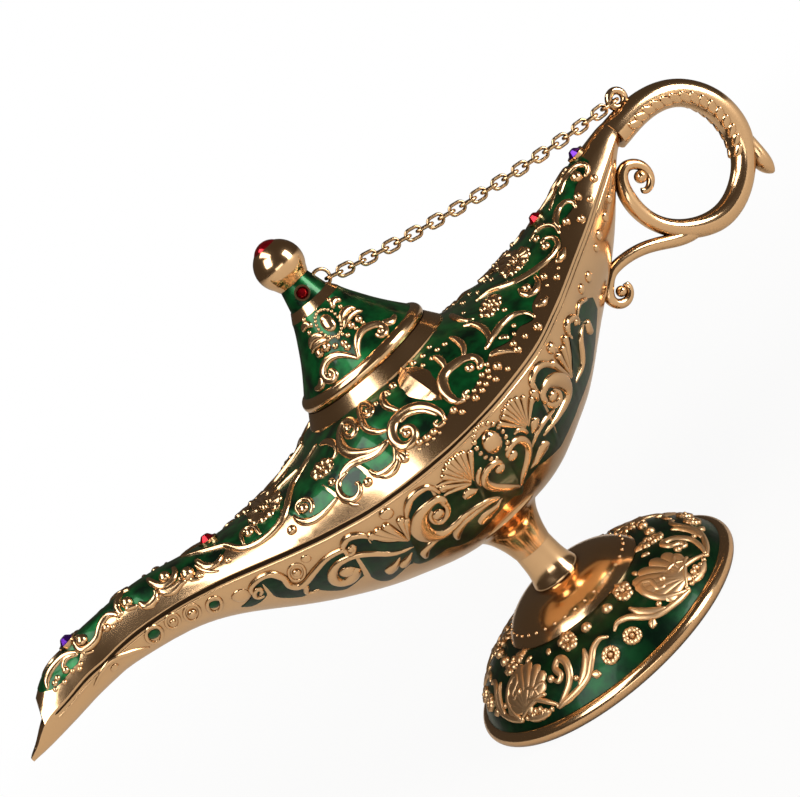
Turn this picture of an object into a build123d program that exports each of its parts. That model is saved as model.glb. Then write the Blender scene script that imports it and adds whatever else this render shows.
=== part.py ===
from build123d import *
import math
import os

os.makedirs("parts", exist_ok=True)

# Genie oil lamp. The origin is the centre of the foot's underside, +Z is up,
# the spout points to -X and the handle to +X. All sizes are in millimetres.

# Overall form of the body
spout_reach = 107.2
tail_reach = 76.5
beam = 74.0
ridge_height = 65.0
sheer_rise = 16.2
keel_height = 35.0
keel_rise = 43.3
crown_rise = 16.4
shell_wall = 1.4
lip_wall = 0.9
hood_top_setback = 9.2
hood_top_height = 80.0
hood_foot_setback = 6.2
hood_foot_height = 73.8
cut_overrun = 20.0

# How the sections of the body are curved, from ridge to crown and from ridge to keel
deck_power_share = 2.8
hull_side_share = 1.6
hull_depth_share = 0.77
section_shares = [-1, -0.97, -0.88, -0.7, -0.45, -0.2, 0, 0.2, 0.45, 0.7, 0.88, 0.97, 1]

# Stations along the body, from the lip to the tail. Place along the spout or tail reach,
# half width, rise of the ridge, rise of the keel, and height of the crown over the ridge.
body_station_shares = [
    (-1.000, 0.024, 0.389, 0.818, 0.043),
    (-0.975, 0.065, 0.469, 0.816, 0.116),
    (-0.945, 0.097, 0.593, 0.816, 0.177),
    (-0.920, 0.119, 0.660, 0.818, 0.220),
    (-0.890, 0.138, 0.685, 0.821, 0.323),
    (-0.850, 0.154, 0.716, 0.827, 0.366),
    (-0.800, 0.173, 0.741, 0.830, 0.372),
    (-0.720, 0.197, 0.741, 0.811, 0.384),
    (-0.640, 0.238, 0.685, 0.762, 0.398),
    (-0.560, 0.300, 0.577, 0.681, 0.380),
    (-0.480, 0.395, 0.432, 0.547, 0.375),
    (-0.400, 0.519, 0.272, 0.397, 0.445),
    (-0.320, 0.670, 0.148, 0.268, 0.537),
    (-0.240, 0.835, 0.068, 0.162, 0.665),
    (-0.170, 0.935, 0.037, 0.088, 0.817),
    (-0.090, 0.992, 0.012, 0.025, 0.963),
    (0.000, 1.000, 0.000, 0.000, 1.000),
    (0.120, 0.957, 0.012, -0.002, 0.963),
    (0.240, 0.876, 0.037, 0.039, 0.793),
    (0.340, 0.773, 0.086, 0.113, 0.634),
    (0.440, 0.657, 0.179, 0.203, 0.524),
    (0.550, 0.516, 0.296, 0.342, 0.463),
    (0.650, 0.392, 0.410, 0.466, 0.427),
    (0.750, 0.276, 0.543, 0.595, 0.410),
    (0.850, 0.184, 0.716, 0.753, 0.370),
    (0.930, 0.132, 0.864, 0.900, 0.290),
    (1.000, 0.095, 1.000, 1.000, 0.189),
]
lip_thin_share = -0.85
trough_end_share = 0.990
trough_end_width_share = 0.3
hollow_first_station = 1
hollow_last_station = 25

# Mouth, collar and lid
mouth_radius = 14.2
collar_top_height = 82.5
collar_height = 6.0
collar_foot_radius = 18.7
collar_top_radius = 16.6
lid_seat_gap = 0.1
brim_radius = 16.4
brim_top_radius = 15.3
brim_height = 2.9
brim_swell = 0.29
lid_wall = 1.2
skirt_clearance = 0.9
skirt_wall = 1.2
skirt_depth = 2.5
cone_height = 13.4
cone_top_radius = 6.45
cone_sag_shares = [
    (0.0, 0.0), (0.14, 0.030), (0.3, 0.055), (0.5, 0.065), (0.72, 0.052), (0.88, 0.034), (1.0, 0.0),
]
cone_wall_share = 1.3
neck_band_height = 2.0
neck_band_radius = 6.5
neck_band_top_radius = 5.2
neck_height = 4.8
neck_foot_radius = 5.0
neck_top_radius = 3.7
knob_radius = 5.6
knob_seat_radius = 3.9
knob_seat_top_radius = 4.5
knob_centre_rise = 4.6
knob_gem_radius = 2.9
knob_gem_height = 1.3

# Red stones on the front and the back of the neck
neck_gem_radius = 1.35
neck_gem_height = 0.9
neck_gem_taper = 30
neck_gem_rise_share = 0.45
neck_bezel_wall = 0.4
neck_bezel_height = 0.5
neck_gem_turn = -105.0
neck_gem_count = 2

# Stones along the ridge of the deck
deck_gem_radius = 1.75
deck_gem_height = 1.5
deck_gem_taper = 40
gem_sides = 8
bezel_wall = 0.45
bezel_height = 0.7
bezel_seat = 0.25
bezel_sunk = 1.0
spout_tip_gem_share = -0.80
spout_gem_share = -0.475
tail_gem_share = 0.655
tail_tip_gem_share = 0.875

# Handle: bar, finger ring, leaf end and brace. Each row is a place along a reach, a place along
# the drop, and a share of the bar's thickness. The brace meets the hull, so its reach is the tail's.
handle_reach = 27.8
handle_drop = 37.5
handle_bar = 6.6
handle_leaf_width = 5.2
handle_ring_shares = [
    (0.000, -0.100, 1.120), (0.162, -0.090, 1.110), (0.349, -0.093, 1.060), (0.514, -0.121, 1.010),
    (0.658, -0.179, 0.970), (0.770, -0.267, 0.970), (0.845, -0.379, 0.990), (0.871, -0.493, 0.990),
    (0.855, -0.610, 0.960), (0.782, -0.728, 0.890), (0.651, -0.830, 0.850), (0.468, -0.903, 0.850),
    (0.277, -0.921, 0.840), (0.076, -0.873, 0.750), (-0.105, -0.768, 0.640), (-0.212, -0.643, 0.580),
    (-0.248, -0.520, 0.580), (-0.236, -0.412, 0.560), (-0.186, -0.328, 0.480), (-0.098, -0.290, 0.420),
    (-0.010, -0.318, 0.370), (0.032, -0.386, 0.330), (0.010, -0.448, 0.300), (-0.055, -0.480, 0.260),
    (-0.112, -0.462, 0.200),
]
curl_ball_share = (-0.042, -0.396)
curl_ball_diameter = 3.1
handle_brace_shares = [
    (0.0218, -0.866, 0.545), (-0.0218, -0.856, 0.530), (-0.0670, -0.815, 0.500), (-0.1180, -0.756, 0.470),
    (-0.1700, -0.710, 0.450), (-0.2250, -0.686, 0.430), (-0.2740, -0.689, 0.410), (-0.3130, -0.738, 0.410),
    (-0.3330, -0.808, 0.390), (-0.3200, -0.862, 0.350), (-0.2920, -0.878, 0.310), (-0.2690, -0.846, 0.270),
    (-0.2660, -0.796, 0.220),
]
brace_ball_share = (-0.2915, -0.814)
brace_ball_diameter = 2.6
handle_leaf_shares = [
    (0.845, -0.600, 0.80), (0.866, -0.700, 0.90), (0.864, -0.800, 0.98), (0.862, -0.870, 0.95),
    (0.872, -0.925, 0.62), (0.882, -0.955, 0.20),
]
leaf_thickness_share = 0.8

# Lug, jump ring, chain and the ring on the lid
lug_offset = 6.3
lug_rise = 1.7
lug_hole_radius = 1.0
lug_wire = 1.8
jump_ring_wire = 0.8
jump_ring_diameter = 4.2
link_count = 26
link_wire = 0.8
link_width = 3.1
link_play = 0.1
chain_sag = 2.1
lid_ring_diameter = 4.0
lid_ring_wire = 0.8
lid_ring_offset = 4.9
lid_ring_rise_share = 0.26
lid_hook_turn = -45.0

# Stem
stem_joint_height = 27.2
stem_base_height = 18.5
stem_flange_radius = 12.6
stem_flange_rise = 3.5
stem_waist_radius = 4.75
stem_lower_waist_radius = 4.65
stem_base_radius = 6.0
stem_flare_shares = [
    (0.0, 0.0), (0.07, 0.02), (0.2, 0.06), (0.36, 0.13), (0.55, 0.24),
    (0.72, 0.40), (0.86, 0.66), (0.95, 0.9), (1.0, 1.0),
]
stem_base_shares = [
    (1.0, 0.0), (0.84, 0.04), (0.66, 0.1), (0.48, 0.2), (0.32, 0.38), (0.17, 0.68), (0.06, 0.95), (0.0, 1.0),
]

# Foot
foot_radius = 35.2
dome_radius = 17.9
dome_edge_height = 13.05
dome_wall = 1.2
dome_bulge_share = 0.12
dome_lap = 0.3
skirt_foot_radius = 33.2
skirt_foot_height = 3.3
skirt_bulge_share = 0.13
foot_wall = 1.3
rim_height = 3.4
rim_inner_radius = 31.2
rim_heel_inset = 0.85

# Tie bolt that holds hull, stem and foot together
bolt_radius = 2.0
bolt_clearance = 0.15
bolt_head_radius = 3.6
bolt_head_height = 2.4
bolt_slot_width = 0.8
boss_radius = 5.6
boss_rise = 2.6
washer_radius = 4.8
washer_thickness = 0.8
nut_across_flats = 7.0
nut_sides = 6
nut_height = 3.2
bolt_end_spare = 1.2


def station_x(share):
    if share < 0:
        return spout_reach * share
    return tail_reach * share


def station_values(index):
    share, width, ridge, keel, crown = body_station_shares[index]
    ridge_z = ridge_height + sheer_rise * ridge
    keel_z = keel_height + keel_rise * keel
    return station_x(share), beam / 2 * width, ridge_z, ridge_z - keel_z, crown_rise * crown


def wall_at(index):
    return lip_wall if body_station_shares[index][0] <= lip_thin_share else shell_wall


def crown_at(share):
    """Height of the deck's centre line at a place along the body, and its slope."""
    for low, high in zip(body_station_shares, body_station_shares[1:]):
        if low[0] <= share <= high[0]:
            part = (share - low[0]) / (high[0] - low[0])
            heights = [ridge_height + sheer_rise * row[2] + crown_rise * row[4] for row in (low, high)]
            run = station_x(high[0]) - station_x(low[0])
            rise = heights[1] - heights[0]
            return heights[0] + rise * part, math.degrees(math.atan2(rise, run))
    raise ValueError("place is off the body")


def deck_curve(x, half_width, ridge_z, depth, crown):
    points = []
    for share in section_shares:
        rise = crown * (1 - abs(share) ** deck_power_share)
        points.append(Vector(x, half_width * share, ridge_z + rise))
    return Edge.make_spline(points)


def hull_curve(x, half_width, ridge_z, depth, crown):
    points = []
    for share in reversed(section_shares):
        drop = depth * (1 - abs(share) ** hull_side_share) ** hull_depth_share
        points.append(Vector(x, half_width * share, ridge_z - drop))
    return Edge.make_spline(points)


def chord(x, half_width, ridge_z, depth, crown, side):
    return Edge.make_line(Vector(x, half_width * side, ridge_z), Vector(x, -half_width * side, ridge_z))


def all_stations():
    return [station_values(i) for i in range(len(body_station_shares))]


def deck_half():
    """The outer form over the seam."""
    return Solid.make_loft([Wire([deck_curve(*row), chord(*row, 1)]) for row in all_stations()])


def hull_half():
    """The outer form under the seam."""
    return Solid.make_loft([Wire([hull_curve(*row), chord(*row, -1)]) for row in all_stations()])


def body_hollow():
    """The room inside, a wall's thickness within the outer form, open at the spout."""
    x, half_width, ridge_z, depth, crown = station_values(0)
    rows = [(-spout_reach * trough_end_share, half_width * trough_end_width_share, ridge_z,
             lip_wall * trough_end_width_share, crown)]
    for i in range(hollow_first_station, hollow_last_station):
        x, half_width, ridge_z, depth, crown = station_values(i)
        wall = wall_at(i)
        rows.append((x, half_width - wall, ridge_z, depth - wall, crown - wall))
    return Solid.make_loft([Wire([deck_curve(*row), hull_curve(*row)]) for row in rows])


def plate_in_side_view(edges, half_thickness):
    return extrude(make_face(edges), amount=half_thickness, dir=(0, 1, 0), both=True)


def hood_cut():
    """The slanted cut that ends the hood of the spout."""
    top = Vector(hood_top_setback - spout_reach, 0, hood_top_height)
    foot = Vector(hood_foot_setback - spout_reach, 0, hood_foot_height)
    slant = (top - foot).normalized()
    high = top + slant * cut_overrun
    low = foot - slant * cut_overrun
    back = -spout_reach - cut_overrun
    corners = [high, low, Vector(back, 0, low.Z), Vector(back, 0, high.Z)]
    edges = [Edge.make_line(a, b) for a, b in zip(corners, corners[1:] + corners[:1])]
    return plate_in_side_view(edges, beam)


def turned(points):
    """A solid turned about the lamp's vertical axis from an outline of (radius, height) points."""
    outline = Polyline([(r, 0, z) for r, z in points], close=True)
    return revolve(make_face(outline.edges()), Axis.Z)


def turned_edges(edges):
    return revolve(make_face(edges), Axis.Z)


def line(a, b):
    return Edge.make_line(Vector(a[0], 0, a[1]), Vector(b[0], 0, b[1]))


def curve(points):
    return Edge.make_spline([Vector(r, 0, z) for r, z in points])


def upright_cylinder(radius, low, high):
    return Pos(0, 0, low) * Cylinder(radius, high - low, align=(Align.CENTER, Align.CENTER, Align.MIN))


# Heights that follow from the sizes above
brim_low = collar_top_height + lid_seat_gap
brim_high = brim_low + brim_height
cone_top = brim_high + cone_height
band_top = cone_top + neck_band_height
neck_top = band_top + neck_height
boss_top = keel_height + boss_rise
dome_top = stem_base_height
dome_under = dome_top - dome_wall
bolt_end = dome_under - washer_thickness - nut_height - bolt_end_spare
skirt_outer_radius = mouth_radius - skirt_clearance
skirt_inner_radius = skirt_outer_radius - skirt_wall


def bolt_boss(hull):
    return upright_cylinder(boss_radius, keel_height - shell_wall, boss_top) & hull


def bolt_hole():
    return upright_cylinder(bolt_radius + bolt_clearance, 0, boss_top + cut_overrun)


def mouth_hole():
    return upright_cylinder(mouth_radius, ridge_height, ridge_height + crown_rise + cut_overrun)


def mouth_collar(deck):
    low = collar_top_height - collar_height
    shoulder = collar_top_height - collar_height / 2
    outline = [(mouth_radius, low), (collar_foot_radius, low), (collar_foot_radius, shoulder),
               (collar_top_radius, collar_top_height), (mouth_radius, collar_top_height)]
    return turned(outline) - deck


def lid_brim_ring():
    """Round-edged ring, square inside, that lies on the collar."""
    low = (brim_radius, brim_low)
    high = (brim_top_radius, brim_high)
    swell = (brim_radius + brim_swell, (brim_low + brim_high) / 2)
    edge = ThreePointArc((low[0], 0, low[1]), (swell[0], 0, swell[1]), (high[0], 0, high[1])).edge()
    inner = skirt_inner_radius
    return turned_edges([line((inner, brim_low), low), edge, line(high, (inner, brim_high)),
                         line((inner, brim_high), (inner, brim_low))])


def lid_skirt():
    low = brim_low - skirt_depth
    return turned([(skirt_inner_radius, low), (skirt_outer_radius, low),
                   (skirt_outer_radius, brim_low), (skirt_inner_radius, brim_low)])


def cone_outline(foot_radius_here, top_radius_here):
    """The slightly hollowed side of the cone, from brim to neck band."""
    points = []
    for rise, sag in cone_sag_shares:
        radius = foot_radius_here + (top_radius_here - foot_radius_here) * rise
        points.append((radius - (foot_radius_here - top_radius_here) * sag, brim_high + cone_height * rise))
    return points


def lid_cone():
    foot = brim_top_radius - lid_seat_gap
    outer = cone_outline(foot, cone_top_radius)
    inner = cone_outline(foot - lid_wall * cone_wall_share, cone_top_radius - lid_wall)
    return turned_edges([curve(outer), line(outer[-1], inner[-1]),
                         curve(list(reversed(inner))), line(inner[0], outer[0])])


def lid_neck_band():
    return turned([(0, cone_top), (neck_band_radius, cone_top),
                   (neck_band_top_radius, band_top), (0, band_top)])


def lid_neck(chain_ring, bezels):
    neck = turned([(0, band_top), (neck_foot_radius, band_top),
                   (neck_top_radius, neck_top), (0, neck_top)])
    return neck - chain_ring - bezels.solids()


def knob_centre():
    return neck_top + knob_centre_rise


def knob_gem_seat():
    return knob_centre() + math.sqrt(knob_radius ** 2 - knob_gem_radius ** 2)


def lid_knob():
    ball = Pos(0, 0, knob_centre()) * Sphere(knob_radius)
    seat_height = knob_centre() - math.sqrt(knob_radius ** 2 - knob_seat_top_radius ** 2)
    seat = turned([(0, neck_top), (knob_seat_radius, neck_top),
                   (knob_seat_top_radius, seat_height), (0, seat_height)])
    flat = upright_cylinder(knob_radius, knob_gem_seat(), knob_gem_seat() + knob_radius)
    base_cut = upright_cylinder(knob_radius, neck_top - knob_radius, neck_top)
    return ball + seat - flat - base_cut


def knob_gem():
    """Round stone with a domed top, flat underneath."""
    low = knob_gem_seat()
    dome = (knob_gem_radius ** 2 + knob_gem_height ** 2) / (2 * knob_gem_height)
    ball = Pos(0, 0, low + knob_gem_height - dome) * Sphere(dome)
    return ball & upright_cylinder(knob_gem_radius, low, low + knob_gem_height)


def neck_gem_frame(index):
    """Plane on the neck's slope, at the height and turn of a stone."""
    rise = neck_height * neck_gem_rise_share
    radius = neck_foot_radius + (neck_top_radius - neck_foot_radius) * neck_gem_rise_share
    slope = math.degrees(math.atan2(neck_foot_radius - neck_top_radius, neck_height))
    turn = Rot(0, 0, neck_gem_turn + index * 360 / neck_gem_count)
    return turn * Pos(radius, 0, band_top + rise) * Rot(0, 90 - slope, 0)


def neck_gem_bezels():
    ring = Cylinder(neck_gem_radius + neck_bezel_wall, neck_bezel_height * 2)
    pocket = Pos(0, 0, neck_bezel_height / 2) * Cylinder(neck_gem_radius, neck_bezel_height)
    return Compound(children=[neck_gem_frame(i) * (ring - pocket) for i in range(neck_gem_count)])


def neck_gems():
    outline = RegularPolygon(neck_gem_radius, gem_sides)
    stone = extrude(outline, amount=neck_gem_height, taper=neck_gem_taper)
    return Compound(children=[neck_gem_frame(i) * stone for i in range(neck_gem_count)])


def deck_gem_frame(share):
    height, slope = crown_at(share)
    return Pos(station_x(share), 0, height) * Rot(0, -slope, 0)


def deck_gem_bezel(share, deck):
    ring = upright_cylinder(deck_gem_radius + bezel_wall, -bezel_sunk, bezel_height)
    pocket = upright_cylinder(deck_gem_radius, bezel_seat, bezel_height)
    return deck_gem_frame(share) * (ring - pocket) - deck


def deck_gem(share, deck):
    """Eight-sided stone, upright as far as the bezel's edge and cut to a slope over it."""
    girdle_height = bezel_height - bezel_seat
    outline = RegularPolygon(deck_gem_radius, gem_sides)
    girdle = extrude(outline, amount=girdle_height)
    crown_height = deck_gem_height - girdle_height
    crown = extrude(Pos(0, 0, girdle_height) * outline, amount=crown_height, taper=deck_gem_taper)
    return deck_gem_frame(share) * Pos(0, 0, bezel_seat) * (girdle + crown) - deck


def handle_point(share, reach):
    return Vector(tail_reach + reach * share[0], 0, tail_top + handle_drop * share[1])


def tapered_bar(shares, reach, width, thickness_share=1.0):
    """A round bar of changing thickness along points in the side view."""
    points = [handle_point(row, reach) for row in shares]
    sections = []
    for i, point in enumerate(points):
        before = points[max(i - 1, 0)]
        after = points[min(i + 1, len(points) - 1)]
        plane = Plane(origin=point, x_dir=(0, 1, 0), z_dir=after - before)
        radius = width / 2 * shares[i][2]
        if thickness_share == 1.0:
            sections.append(Wire.make_circle(radius, plane))
        else:
            sections.append(Wire([Edge.make_ellipse(radius, radius * thickness_share, plane)]))
    return Solid.make_loft(sections)


def handle(deck, hull):
    ring = tapered_bar(handle_ring_shares, handle_reach, handle_bar)
    brace = tapered_bar(handle_brace_shares, tail_reach, handle_bar)
    leaf = tapered_bar(handle_leaf_shares, handle_reach, handle_leaf_width, leaf_thickness_share)
    curl_ball = Pos(handle_point(curl_ball_share, handle_reach)) * Sphere(curl_ball_diameter / 2)
    brace_ball = Pos(handle_point(brace_ball_share, tail_reach)) * Sphere(brace_ball_diameter / 2)
    return ring + brace + leaf + curl_ball + brace_ball - deck - hull


tail_top = ridge_height + sheer_rise + crown_rise * body_station_shares[-1][4]
lug_centre = Vector(tail_reach + lug_offset, 0, tail_top + lug_rise)
lid_ring_centre = Vector(lid_ring_offset, 0, band_top + neck_height * lid_ring_rise_share)
hook_reach = lid_ring_diameter / 2 - lid_ring_wire / 2 - link_wire / 2 - link_play
lid_hook = lid_ring_centre + Vector(hook_reach, 0, 0).rotate(Axis.Y, -lid_hook_turn)


def ring_about_y(centre, mean_diameter, wire):
    return Pos(centre) * Rot(90, 0, 0) * Torus(mean_diameter / 2, wire / 2)


def chain_lug(handle_casting):
    return ring_about_y(lug_centre, 2 * lug_hole_radius + lug_wire, lug_wire) - handle_casting


def lid_chain_ring():
    return ring_about_y(lid_ring_centre, lid_ring_diameter, lid_ring_wire)


def chain_line():
    """The gentle arc that the chain hangs in, from the lug's eye to the ring on the lid."""
    middle = (lug_centre + lid_hook) * 0.5 - Vector(0, 0, chain_sag)
    return Edge.make_three_point_arc(lug_centre, middle, lid_hook)


def chain_jump_ring(path):
    at = path.position_at(jump_ring_diameter / 2, position_mode=PositionMode.LENGTH)
    along = path.tangent_at(jump_ring_diameter / 2, position_mode=PositionMode.LENGTH)
    plane = Plane(origin=at, x_dir=along, z_dir=Vector(0, 1, 0).cross(along))
    return plane * Torus(jump_ring_diameter / 2, jump_ring_wire / 2)


def chain_link(at, along, flat, outer_length):
    """An oval link with its long way along the chain, lying flat or standing on edge."""
    normal = Vector(0, 1, 0).cross(along) if flat else Vector(0, 1, 0)
    plane = Plane(origin=at, x_dir=along, z_dir=normal)
    bend = (link_width - link_wire) / 2
    straight = outer_length - link_width
    wire_section = Circle(link_wire / 2)
    round_end = revolve(Plane.XZ * Pos(bend, 0) * wire_section, Axis.Z, 180)
    near_end = Pos(-straight / 2, 0, 0) * Rot(0, 0, 90) * round_end
    far_end = Pos(straight / 2, 0, 0) * Rot(0, 0, -90) * round_end
    bar = Rot(0, 90, 0) * Cylinder(link_wire / 2, straight)
    return plane * (near_end + far_end + Pos(0, bend, 0) * bar + Pos(0, -bend, 0) * bar)


def chain_links(path):
    first_end = jump_ring_diameter - jump_ring_wire / 2 - link_wire / 2 - link_play
    overlap = link_wire + link_play
    wire_to_wire = (path.length - first_end + overlap * (link_count - 1)) / link_count
    outer_length = wire_to_wire + link_wire
    start = first_end + wire_to_wire / 2
    step = wire_to_wire - overlap
    links = []
    for i in range(link_count):
        along = path.tangent_at(start + step * i, position_mode=PositionMode.LENGTH)
        at = path.position_at(start + step * i, position_mode=PositionMode.LENGTH)
        links.append(chain_link(at, along, i % 2 == 1, outer_length))
    return links


def stem_upper(hull):
    top = keel_height + stem_flange_rise
    rise = top - stem_joint_height
    spread = stem_flange_radius - stem_waist_radius
    low = stem_joint_height
    flare = [(stem_waist_radius + spread * out, low + rise * up) for up, out in stem_flare_shares]
    high = keel_height + crown_rise
    solid = turned_edges([line((0, low), flare[0]), curve(flare), line(flare[-1], (stem_flange_radius, high)),
                          line((stem_flange_radius, high), (0, high)), line((0, high), (0, low))])
    return solid - hull - bolt_hole()


def stem_lower():
    rise = stem_joint_height - stem_base_height
    spread = stem_base_radius - stem_lower_waist_radius
    waist = [(stem_lower_waist_radius + spread * out, stem_base_height + rise * up)
             for up, out in reversed(stem_base_shares)]
    solid = turned_edges([line((0, stem_base_height), waist[0]), curve(waist),
                          line(waist[-1], (0, stem_joint_height)),
                          line((0, stem_joint_height), (0, stem_base_height))])
    return solid - bolt_hole()


def bowed(start, end, bulge_share):
    """A bow between two (radius, height) points, swelling outwards by a share of its length."""
    middle = ((start[0] + end[0]) / 2, (start[1] + end[1]) / 2)
    run = (end[0] - start[0], end[1] - start[1])
    swell = (middle[0] - run[1] * bulge_share, middle[1] + run[0] * bulge_share)
    return ThreePointArc((start[0], 0, start[1]), (swell[0], 0, swell[1]), (end[0], 0, end[1])).edge()


def foot_dome():
    """Domed disc with a flat seat for the stem, closed by the skirt's collar at its edge."""
    seat = (stem_base_radius + dome_wall / 2, dome_top)
    edge = (dome_radius, dome_edge_height)
    under_edge = (dome_radius, dome_edge_height - dome_wall)
    under_seat = (stem_base_radius + dome_wall / 2, dome_under)
    solid = turned_edges([line((0, dome_top), seat), bowed(seat, edge, dome_bulge_share),
                          line(edge, under_edge), bowed(under_seat, under_edge, dome_bulge_share),
                          line(under_seat, (0, dome_under)), line((0, dome_under), (0, dome_top))])
    return solid - bolt_hole()


def foot_skirt():
    """The flared skirt, which carries the dome on its inner edge."""
    top = (dome_radius, dome_edge_height - dome_lap)
    foot = (skirt_foot_radius, skirt_foot_height)
    under_top = (dome_radius, dome_edge_height - dome_lap - foot_wall)
    under_foot = (skirt_foot_radius - foot_wall, skirt_foot_height)
    return turned_edges([bowed(top, foot, skirt_bulge_share), line(foot, under_foot),
                         bowed(under_top, under_foot, skirt_bulge_share), line(under_top, top)])


def foot_rim():
    """The rolled rim, flat underneath, with the skirt standing on its inner shoulder."""
    shoulder = (skirt_foot_radius, skirt_foot_height)
    nose = (foot_radius, rim_height / 2)
    heel = (foot_radius - rim_heel_inset, 0)
    edge = ThreePointArc((shoulder[0], 0, shoulder[1]), (nose[0], 0, nose[1]), (heel[0], 0, 0)).edge()
    return turned_edges([edge, line(heel, (rim_inner_radius, 0)),
                         line((rim_inner_radius, 0), (rim_inner_radius, skirt_foot_height)),
                         line((rim_inner_radius, skirt_foot_height), shoulder)])


def washer(low):
    return upright_cylinder(washer_radius, low, low + washer_thickness) - bolt_hole()


def tie_bolt():
    seat = boss_top + washer_thickness
    shank = upright_cylinder(bolt_radius, bolt_end, seat)
    head = upright_cylinder(bolt_head_radius, seat, seat + bolt_head_height)
    slot = Pos(0, 0, seat + bolt_head_height) * Box(2 * bolt_head_radius, bolt_slot_width, bolt_head_height)
    return shank + head - slot


def foot_nut():
    low = dome_under - washer_thickness - nut_height
    hexagon = Pos(0, 0, low) * RegularPolygon(nut_across_flats / 2, nut_sides, major_radius=False)
    return extrude(hexagon, amount=nut_height) - upright_cylinder(bolt_radius, 0, dome_top)


def save(name, shape):
    export_step(shape, f"parts/{name}.step")


deck = deck_half()
hull = hull_half()
hollow = body_hollow()

save("upper_shell", deck - hollow - hood_cut() - mouth_hole())
save("lower_shell", hull - hollow + bolt_boss(hull) - bolt_hole())
save("mouth_collar", mouth_collar(deck))

save("lid_brim_ring", lid_brim_ring())
save("lid_skirt", lid_skirt())
save("lid_cone", lid_cone())
save("lid_neck_band", lid_neck_band() - lid_chain_ring())
save("lid_neck", lid_neck(lid_chain_ring(), neck_gem_bezels()))
save("lid_knob", lid_knob())
save("knob_gem", knob_gem())
save("neck_gem_bezels", neck_gem_bezels())
save("neck_gems", neck_gems())
save("lid_chain_ring", lid_chain_ring())

for name, share in (("spout_tip_gem", spout_tip_gem_share), ("spout_gem", spout_gem_share),
                    ("tail_gem", tail_gem_share), ("tail_tip_gem", tail_tip_gem_share)):
    save(name, deck_gem(share, deck))
    save(name + "_bezel", deck_gem_bezel(share, deck))

handle_casting = handle(deck, hull)
chain_path = chain_line()
save("handle", handle_casting)
save("chain_lug", chain_lug(handle_casting))
save("chain_jump_ring", chain_jump_ring(chain_path))
save("chain_links", Compound(children=chain_links(chain_path)))

save("stem_upper", stem_upper(hull))
save("stem_lower", stem_lower())
save("foot_dome", foot_dome())
save("foot_skirt", foot_skirt())
save("foot_rim", foot_rim())

save("tie_bolt", tie_bolt())
save("bolt_washer", washer(boss_top))
save("foot_washer", washer(dome_under - washer_thickness))
save("foot_nut", foot_nut())

print("chain hinge at the lug", lug_centre)
print("chain hook on the lid", lid_hook)
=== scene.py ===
import math

import bpy
import numpy as np
from mathutils import Matrix, Vector
from mathutils.bvhtree import BVHTree


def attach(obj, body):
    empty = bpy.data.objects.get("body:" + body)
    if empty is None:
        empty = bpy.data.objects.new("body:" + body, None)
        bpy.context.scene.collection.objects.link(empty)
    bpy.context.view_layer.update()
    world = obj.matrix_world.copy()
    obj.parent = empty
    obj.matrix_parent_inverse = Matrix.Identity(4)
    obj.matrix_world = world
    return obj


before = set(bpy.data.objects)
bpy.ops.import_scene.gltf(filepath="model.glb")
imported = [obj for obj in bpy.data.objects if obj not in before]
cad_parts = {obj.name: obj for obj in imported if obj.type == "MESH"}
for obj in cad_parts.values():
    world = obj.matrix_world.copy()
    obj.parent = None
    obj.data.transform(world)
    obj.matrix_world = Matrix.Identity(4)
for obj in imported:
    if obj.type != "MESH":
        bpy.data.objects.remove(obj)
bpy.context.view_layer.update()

# The eye: where the lamp is seen from, a little left of the beam and a little above, with the
# lamp tipped in the picture. The ornament is drawn as it is seen from here, on the lamp's
# middle plane, and then laid on the castings, so the same point serves both.
mm = 0.001
eye_turn = math.radians(-11.82)
eye_rise = math.radians(10.70)
eye_roll = math.radians(42)
eye_place = Vector((-77.3, -370.0, 142.9)) * mm
nearest_seen, farthest_seen = 0.01, 20
picture_width = 800
focal_pixels = 1779.6
sensor_width = 36
eye_right = Vector((math.cos(eye_turn), math.sin(eye_turn), 0))
eye_back = Vector((math.sin(eye_turn) * math.cos(eye_rise),
                   -math.cos(eye_turn) * math.cos(eye_rise), math.sin(eye_rise)))
eye_up = eye_back.cross(eye_right)
tipped_right = eye_right * math.cos(eye_roll) - eye_up * math.sin(eye_roll)
tipped_up = eye_right * math.sin(eye_roll) + eye_up * math.cos(eye_roll)
eye = bpy.data.objects.new("eye", bpy.data.cameras.new("eye"))
eye.data.sensor_width = sensor_width
eye.data.lens = focal_pixels / picture_width * sensor_width
eye.data.clip_start, eye.data.clip_end = nearest_seen, farthest_seen
eye_frame = Matrix((tipped_right, tipped_up, eye_back)).transposed().to_4x4()
eye_frame.translation = eye_place
eye.matrix_world = eye_frame
bpy.context.scene.collection.objects.link(eye)
bpy.context.scene.camera = eye


# The gold: rose-gold plating over the zinc castings, polished, with painted shade that makes it darker
# beside the ornament and in its corners.
class Mask:
    """A socket that Python's operators work on."""

    def __init__(self, finish, socket):
        self.finish, self.socket = finish, socket

    def _math(self, operation, first, second):
        node = self.finish.node("ShaderNodeMath", {"operation": operation}, {0: first, 1: second})
        return Mask(self.finish, node.outputs[0])

    def __add__(self, other):
        return self._math("ADD", self, other)

    __radd__ = __add__

    def __mul__(self, other):
        return self._math("MULTIPLY", self, other)

    __rmul__ = __mul__


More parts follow.
